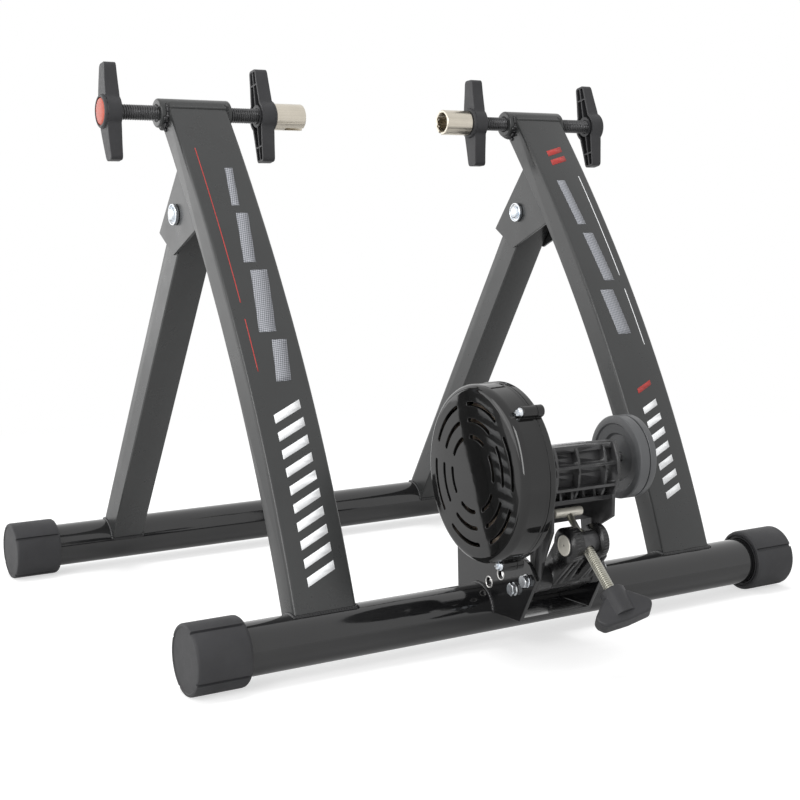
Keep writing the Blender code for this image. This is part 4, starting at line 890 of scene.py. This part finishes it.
def make_housing():
    """The slotted cover and the back shell, held by three cross-head screws in bosses."""
    cover_steps, shell_steps, slots = [], [], []
    for k in range(3):
        a = radians(SCREW_START + 120 * k)
        place = Matrix.Translation((0, SCREW_RING * cos(a), SCREW_RING * sin(a)))
        boss = [(0.0038, -0.066), (0.0044, -0.0654), (0.0044, COVER_SEAM)]
        cover_steps.append((ADD, lathe(boss, 32, place, closed=False)))
        cover_steps.append((CUT, rod(0.0038, -0.08, -0.066, 32, place)))
        cover_steps.append((CUT, rod(0.0019, -0.07, -0.05, 24, place)))
        boss = [(0.0044, COVER_SEAM + GAP), (0.0044, -0.049), (0.0038, -0.0484)]
        shell_steps.append((ADD, lathe(boss, 32, place, closed=False)))
        shell_steps.append((CUT, rod(0.0019, -0.06, -0.0504, 24, place)))
        head = [(0.0034, -0.0663), (0.0034, -0.0672), (0.0028, -0.068), (0.0016, -0.0683)]
        screw = merged(rod(0.0016, -0.0664, -0.0507, 20, place), lathe(head, 32, place, closed=False))
        screw = solid(screw, *[(CUT, box((-0.07, -wide, -high), (-0.0674, wide, high), place))
                               for wide, high in ((0.0005, 0.002), (0.002, 0.0005))])
        screw.transform(local(*ROLLER))
        skin(f"housing_screw_{k + 1}", screw, "zinc", "unit", angle=35)
    for group in range(6):
        middle = SLOT_START + 60 * group
        for radius, span in SLOT_ROWS:
            half = span / 2 - degrees(SLOT_HALF / radius)
            line = slot_line(radius, SLOT_HALF, middle - half, middle + half)
            slots.append(prism(line, COVER_FACE - 0.004, COVER_FACE + 0.008))
    cover_steps.append((CUT, merged(*slots)))
    for name, mesh, steps in (("housing_cover", cover_mesh(), cover_steps),
                              ("housing_back", shell_mesh(), shell_steps)):
        mesh = solid(mesh, *steps)
        mesh.transform(local(*ROLLER))
        skin(name, mesh, "housing_plastic", "unit", 0.00035, 2, 40)
    ring = lathe([(0.05, -0.0558), (0.05, -0.0523), (0.024, -0.0523), (0.024, -0.0558)], 64, local(*ROLLER))
    skin("magnet_ring", ring, "magnet_ring", "unit", 0.0004)


def make_spinning():
    """What turns with the roller: shaft, roller, brake rotor, flywheel and their nuts."""
    line = local(*ROLLER)
    shaft = [(0.0035, -0.07), (0.004, -0.0695), (0.004, 0.074), (0.0035, 0.0745)]
    skin("roller_shaft", lathe(shaft, 40, line, closed=False), "bright_steel", "spinning")
    half = ROLLER_HALF
    profile = [(0.014, -half), (0.015, 0.001 - half), (0.015, half - 0.001), (0.014, half),
               (0.0043, half), (0.0043, -half)]
    roller = lathe([(r, UNIT_X + x) for r, x in profile], 72, line)
    skin("roller", roller, "bright_steel", "spinning", 0.0003)
    left, right, end, r, groove = ROTOR_X, FLYWHEEL_X, FLYWHEEL_END, FLYWHEEL_R, FLYWHEEL_GROOVE
    rotor = [(0.01, left + 0.0075), (0.01, left + 0.003), (0.052, left + 0.003), (0.052, left),
             (0.0043, left), (0.0043, left + 0.0075)]
    skin("brake_rotor", lathe(rotor, 96, line), "aluminium", "spinning", 0.0003)
    for name, x, way, across, height in (("rotor_nut", left - GAP, -1, 0.013, 0.0042),
                                         ("flywheel_nut", end + GAP, 1, 0.016, 0.006)):
        mesh = hexagon(across, height, axes((x, *ROLLER), (way, 0, 0), (0, 0, 1)), hole=0.0043)
        skin(name, mesh, "zinc", "spinning", angle=30)
    wheel = [(0.0043, end), (0.009, end), (0.01, end - 0.0008), (0.0235, end - 0.0008), (0.025, end),
             (r - 0.0012, end), (r - 0.0004, end - 0.0004), (r, end - 0.0012), (r, groove + 0.0009),
             (r - 0.0003, groove + 0.0006), (r - 0.0012, groove + 0.0005), (r - 0.0012, groove - 0.0005),
             (r - 0.0003, groove - 0.0006), (r, groove - 0.0009), (r, right + 0.0016),
             (r - 0.0006, right + 0.0006), (r - 0.0018, right), (0.0262, right), (0.025, right + 0.0012),
             (0.0185, right + 0.002), (0.017, right + 0.004), (0.0043, right + 0.004)]
    skin("flywheel", lathe(wheel, 96, line), "flywheel", "spinning", angle=28)


# Adjuster

def make_adjuster():
    """The threaded rod with its pin, the barrel nut with plated faces, the T-bar and the knob."""
    way = (0, sin(ADJUSTER_ANGLE), cos(ADJUSTER_ANGLE))
    matrix = axes((UNIT_X, *BARREL), way, (1, 0, 0))
    reach = 0.0279
    shoulder = reach - 0.0035 - GAP
    pin = lathe([(0.0026, 0.009), (0.0026, shoulder - 0.0006), (0.0022, shoulder), (0.0017, shoulder),
                 (0.0017, reach + 0.0033), (0.0012, reach + 0.0037)], 24, matrix, closed=False)
    shank = thread(-0.0575, 0.0108, 0.004, 0.003, 0.0016, matrix, 24, 8)
    skin("adjuster_rod", merged(pin, shank), "thread_zinc", "adjuster", angle=50)
    refined("barrel_nut", "black_thread", 0.0005, 2, 30)
    for hand, x, way in (("left", -0.0186, -1), ("right", 0.0144, 1)):
        disc = [(0.0076, -0.0012), (0.0076, -0.0003), (0.0073, 0.0), (0.0066, 0.0), (0.0063, -0.0002),
                (0.0012, -0.0002), (0.0008, -0.0005), (0.0002, -0.0005)]
        mesh = lathe(disc, 48, axes((UNIT_X + x, *BARREL), (way, 0, 0), (0, 0, 1)), closed=False)
        put(f"barrel_nut_{hand}_face", mesh, "cast_zinc", "barrel", angle=30)
    refined("t_bar", "cream_zinc", 0.0002, 1, 30)
    make_knob(matrix)


def make_knob(matrix):
    """A flat wing on a round neck, with a raised block on its upper side."""
    flat = matrix @ Matrix.Rotation(KNOB_TURN, 4, "X")
    top, depth, half = KNOB_TOP, KNOB_DEPTH, KNOB_HALF
    side = [(half * 0.82, 0.001 - depth), (half, 0.006 - depth), (half, -0.017), (0.0086, -0.005)]
    line = [(0.0, -depth)] + side + [(-u, v) for u, v in reversed(side)]
    rows = [[Vector((top + v, u, w)) for u, v in line] for w in (-0.00625, 0.00625)]
    wing = bevelled(rings(rows), 0.0024, lambda a, b: True, 4)
    corners = ((-0.0066, -0.0215), (0.0066, -0.0215), (0.0066, -0.008), (-0.0066, -0.008))
    block = [[Vector((top + v, u, w)) for u, v in corners] for w in (-0.0074, 0.0074)]
    block = bevelled(rings(block), 0.0008, lambda a, b: True, 2)
    neck = lathe([(0.008, top), (0.009, top - 0.0004), (0.0095, top - 0.0012), (0.0095, top - 0.0215),
                  (0.0004, top - 0.0225), (0.0004, top)], 48)
    bore = rod(0.0043, top - 0.0143, top + 0.01)
    dish = rod(0.0062, top - 0.0014, top + 0.01, 40)
    wing.transform(flat)
    block.transform(flat)
    for mesh in (neck, bore, dish):
        mesh.transform(matrix)
    mesh = solid(wing, (ADD, neck), (ADD, block), (CUT, bore), (CUT, dish))
    skin("adjuster_knob", mesh, "handle_plastic", "adjuster", 0.0003, 2, 35)


# Printed design on the uprights

def printed(name, x, polygons, look):
    """Flat inked shapes, given as (across, height) points, laid on an upright's curved front."""
    bm = bmesh.new()
    for polygon in polygons:
        bm.faces.new([bm.verts.new((u, 0, z)) for u, z in polygon])
    low = min(v.co.z for v in bm.verts)
    high = max(v.co.z for v in bm.verts)
    z = low + INK_STEP
    while z < high:
        sliced(bm, (0, 0, z), (0, 0, 1))
        z += INK_STEP
    for v in bm.verts:
        y, z = behind_front(v.co.z, -INK_LIFT)
        v.co = Vector((x + v.co.x, y + SHIFT, z))
    bmesh.ops.recalc_face_normals(bm, faces=bm.faces)
    for face in bm.faces:
        if face.normal.y > 0:
            face.normal_flip()
    mesh = bpy.data.meshes.new(name)
    bm.to_mesh(mesh)
    bm.free()
    made = put(name, mesh, look, "frame", angle=60)
    step = made.modifiers.new("ink", "SOLIDIFY")
    step.thickness = INK_THICK
    step.offset = -1


def slanted(u, z, width, height, lean):
    """A bar of that width and height whose top is shifted across by lean."""
    return [(u, z), (u + width, z), (u + width + lean, z + height), (u + lean, z + height)]


def stripes(low, high, pitch, width, left, right, slope):
    """Slanted bars across an upright, each rising from left to right."""
    made = []
    z = low
    while z < high:
        made.append([(left, z), (right, z + slope), (right, z + slope + width), (left, z + width)])
        z += pitch
    return made


def make_prints():
    """Bars, stripes and thin lines on both uprights."""
    left, right = -UPRIGHT_X, UPRIGHT_X
    lines = [slanted(-0.015, 0.262, 0.0008, 0.12, 0.0), slanted(-0.015, 0.212, 0.0008, 0.038, 0.0)]
    printed("left_pinstripe", left, lines, "ink_red")
    bars = [slanted(0.001, 0.336, 0.0065, 0.03, 0.004), slanted(-0.003, 0.292, 0.01, 0.038, 0.0055),
            slanted(-0.006, 0.24, 0.014, 0.046, 0.0065), slanted(-0.002, 0.204, 0.012, 0.03, 0.0045)]
    printed("left_bars", left, bars, "ink_grey")
    printed("left_stripes", left, stripes(0.062, 0.185, 0.0125, 0.0062, -0.0105, 0.0125, 0.0095), "ink_white")
    printed("right_badge", right, stripes(0.372, 0.385, 0.0085, 0.0048, -0.0085, 0.0095, 0.0045), "ink_red")
    bars = [slanted(-0.0085, 0.318, 0.009, 0.04, -0.003), slanted(-0.0035, 0.268, 0.011, 0.042, -0.0035),
            slanted(-0.009, 0.222, 0.014, 0.038, -0.003)]
    printed("right_bars", right, bars, "ink_grey")
    lines = [slanted(0.015, 0.272, 0.0008, 0.09, 0.0), slanted(0.015, 0.212, 0.0008, 0.048, 0.0)]
    printed("right_pinstripe", right, lines, "ink_white")
    for name, low, high, pitch, width, look in (("stripes", 0.086, 0.166, 0.0115, 0.0052, "ink_white"),
                                                ("red_stripe", 0.172, 0.173, 0.02, 0.004, "ink_red")):
        printed("right_" + name, right, stripes(low, high, pitch, width, -0.008, 0.0085, 0.0065), look)


# Floor, light and camera

def cleared(owner):
    """The emptied node tree of a material or world, and the outputs of its light path."""
    owner.use_nodes = True
    owner.node_tree.nodes.clear()
    graph = Graph(owner.node_tree)
    return graph, graph.node("ShaderNodeLightPath").outputs


def make_stage():
    """A pale floor that the camera sees as white with the object's soft shadow on it."""
    bpy.ops.mesh.primitive_plane_add(size=16, location=(0, 0, -0.0002))
    floor = bpy.context.object
    floor.name = "floor"
    made = bpy.data.materials.new("floor")
    graph, path = cleared(made)
    seen, mirrored = path["Is Camera Ray"], path["Is Glossy Ray"]
    where = graph.node("ShaderNodeTexCoord").outputs["Object"]
    away = graph.step("ShaderNodeVectorMath", {0: where}, "Value", operation="LENGTH")
    matt = graph.step("ShaderNodeBsdfDiffuse", {"Color": (FLOOR_TONE, FLOOR_TONE, FLOOR_TONE, 1.0)})
    strength = graph.maths("ADD", graph.maths("MULTIPLY", seen, FLOOR_LIFT),
                           graph.maths("MULTIPLY", mirrored, FLOOR_GLOSS))
    lift, white = [graph.step("ShaderNodeEmission", {"Strength": value}) for value in (strength, 1.0)]
    near = graph.step("ShaderNodeAddShader", {0: matt, 1: lift})
    chosen = []
    for reach, ray in (((0.5, 1.3), seen), ((0.4, 0.8), mirrored)):
        far = graph.ranged(away, 0.0, 1.0, reach, "SMOOTHSTEP")
        chosen.append(graph.maths("MULTIPLY", far, ray))
    chosen = graph.maths("ADD", *chosen)
    mix = graph.step("ShaderNodeMixShader", {0: chosen, 1: near, 2: white})
    graph.feed(mix, graph.node("ShaderNodeOutputMaterial").inputs["Surface"])
    floor.data.materials.append(made)


def make_world():
    """White for the camera and in reflections, and an even soft light."""
    world = bpy.data.worlds.new("studio")
    bpy.context.scene.world = world
    graph, path = cleared(world)
    soft, white = [graph.step("ShaderNodeBackground", {"Strength": strength, "Color": (1.0, 1.0, 1.0, 1.0)})
                   for strength in (SOFT_LIGHT, 1.0)]
    shown = graph.maths("MAXIMUM", graph.maths("MAXIMUM", path["Is Camera Ray"], path["Is Glossy Ray"]),
                        path["Is Transmission Ray"])
    mix = graph.step("ShaderNodeMixShader", {0: shown, 1: soft, 2: white})
    graph.feed(mix, graph.node("ShaderNodeOutputWorld").inputs["Surface"])


def make_lights():
    """Soft rectangular lamps, all aimed at the trainer's middle."""
    for name, place, size, power, mirrored in LAMPS:
        data = bpy.data.lights.new(name, "AREA")
        data.shape = "RECTANGLE"
        data.size, data.size_y = size
        data.energy = power
        made = added(name, data)
        made.location = place
        made.rotation_euler = (LAMP_TARGET - Vector(place)).to_track_quat("-Z", "Y").to_euler()
        made.visible_glossy = mirrored


def make_camera():
    """A view from the front left, a little above, with the picture's middle off the lens axis."""
    yaw, pitch, roll = [radians(angle) for angle in CAMERA_TURN]
    forward = Vector((sin(yaw) * cos(pitch), cos(yaw) * cos(pitch), -sin(pitch)))
    level = Vector((cos(yaw), -sin(yaw), 0))
    drop = forward.cross(level)
    right = cos(roll) * level + sin(roll) * drop
    down = -sin(roll) * level + cos(roll) * drop
    data = bpy.data.cameras.new("camera")
    data.sensor_width = 36
    data.lens = FOCAL * data.sensor_width / PICTURE
    data.shift_x = -CAMERA_SHIFT[0] / PICTURE
    data.shift_y = CAMERA_SHIFT[1] / PICTURE
    made = added("camera", data)
    matrix = Matrix((right, -down, -forward)).transposed().to_4x4()
    matrix.translation = Vector(CAMERA_PLACE) + Vector((0, SHIFT, 0))
    made.matrix_world = matrix
    bpy.context.scene.camera = made


make_camera()
make_tubes()
for name, side, y, turn, rides_on in (("front_cap_left", -1, 0.0, 120, "frame"),
                                      ("front_cap_right", 1, 0.0, 150, "frame"),
                                      ("rear_cap_left", -1, REAR_Y, 147, "rear_frame"),
                                      ("rear_cap_right", 1, REAR_Y, 128, "rear_frame")):
    make_cap(name, side, y, turn, rides_on)
for name, x in (("left", -UPRIGHT_X), ("right", UPRIGHT_X)):
    make_upright(name, x)
    make_sleeve(name, x)
    refined(name + "_fold_bracket", "satin_black_steel", 0.0004, 2)
    refined(name + "_leg", "satin_black_steel", 0.0)
for name, x in (("left", -UPRIGHT_X), ("right", UPRIGHT_X)):
    weld_side(name, x)
weld_unit()
make_clamp("left", -1, (7.6, 9.1))
make_clamp("right", 1, (11.0, 3.0))
make_fold_bolts()
make_unit_bolts()
refined("unit_bracket", "gloss_black_steel", 0.0004, 2)
refined("lower_mount", "mount_nylon", 0.0, flat=0)
refined("carrier", "carrier_nylon", 0.0, flat=0)
for name in ("left_bearing", "right_bearing"):
    refined(name, "bright_steel", 0.0002, 1)
make_housing()
make_spinning()
make_adjuster()
make_prints()
make_stage()
make_world()
make_lights()
bpy.context.scene.view_settings.view_transform = "Standard"
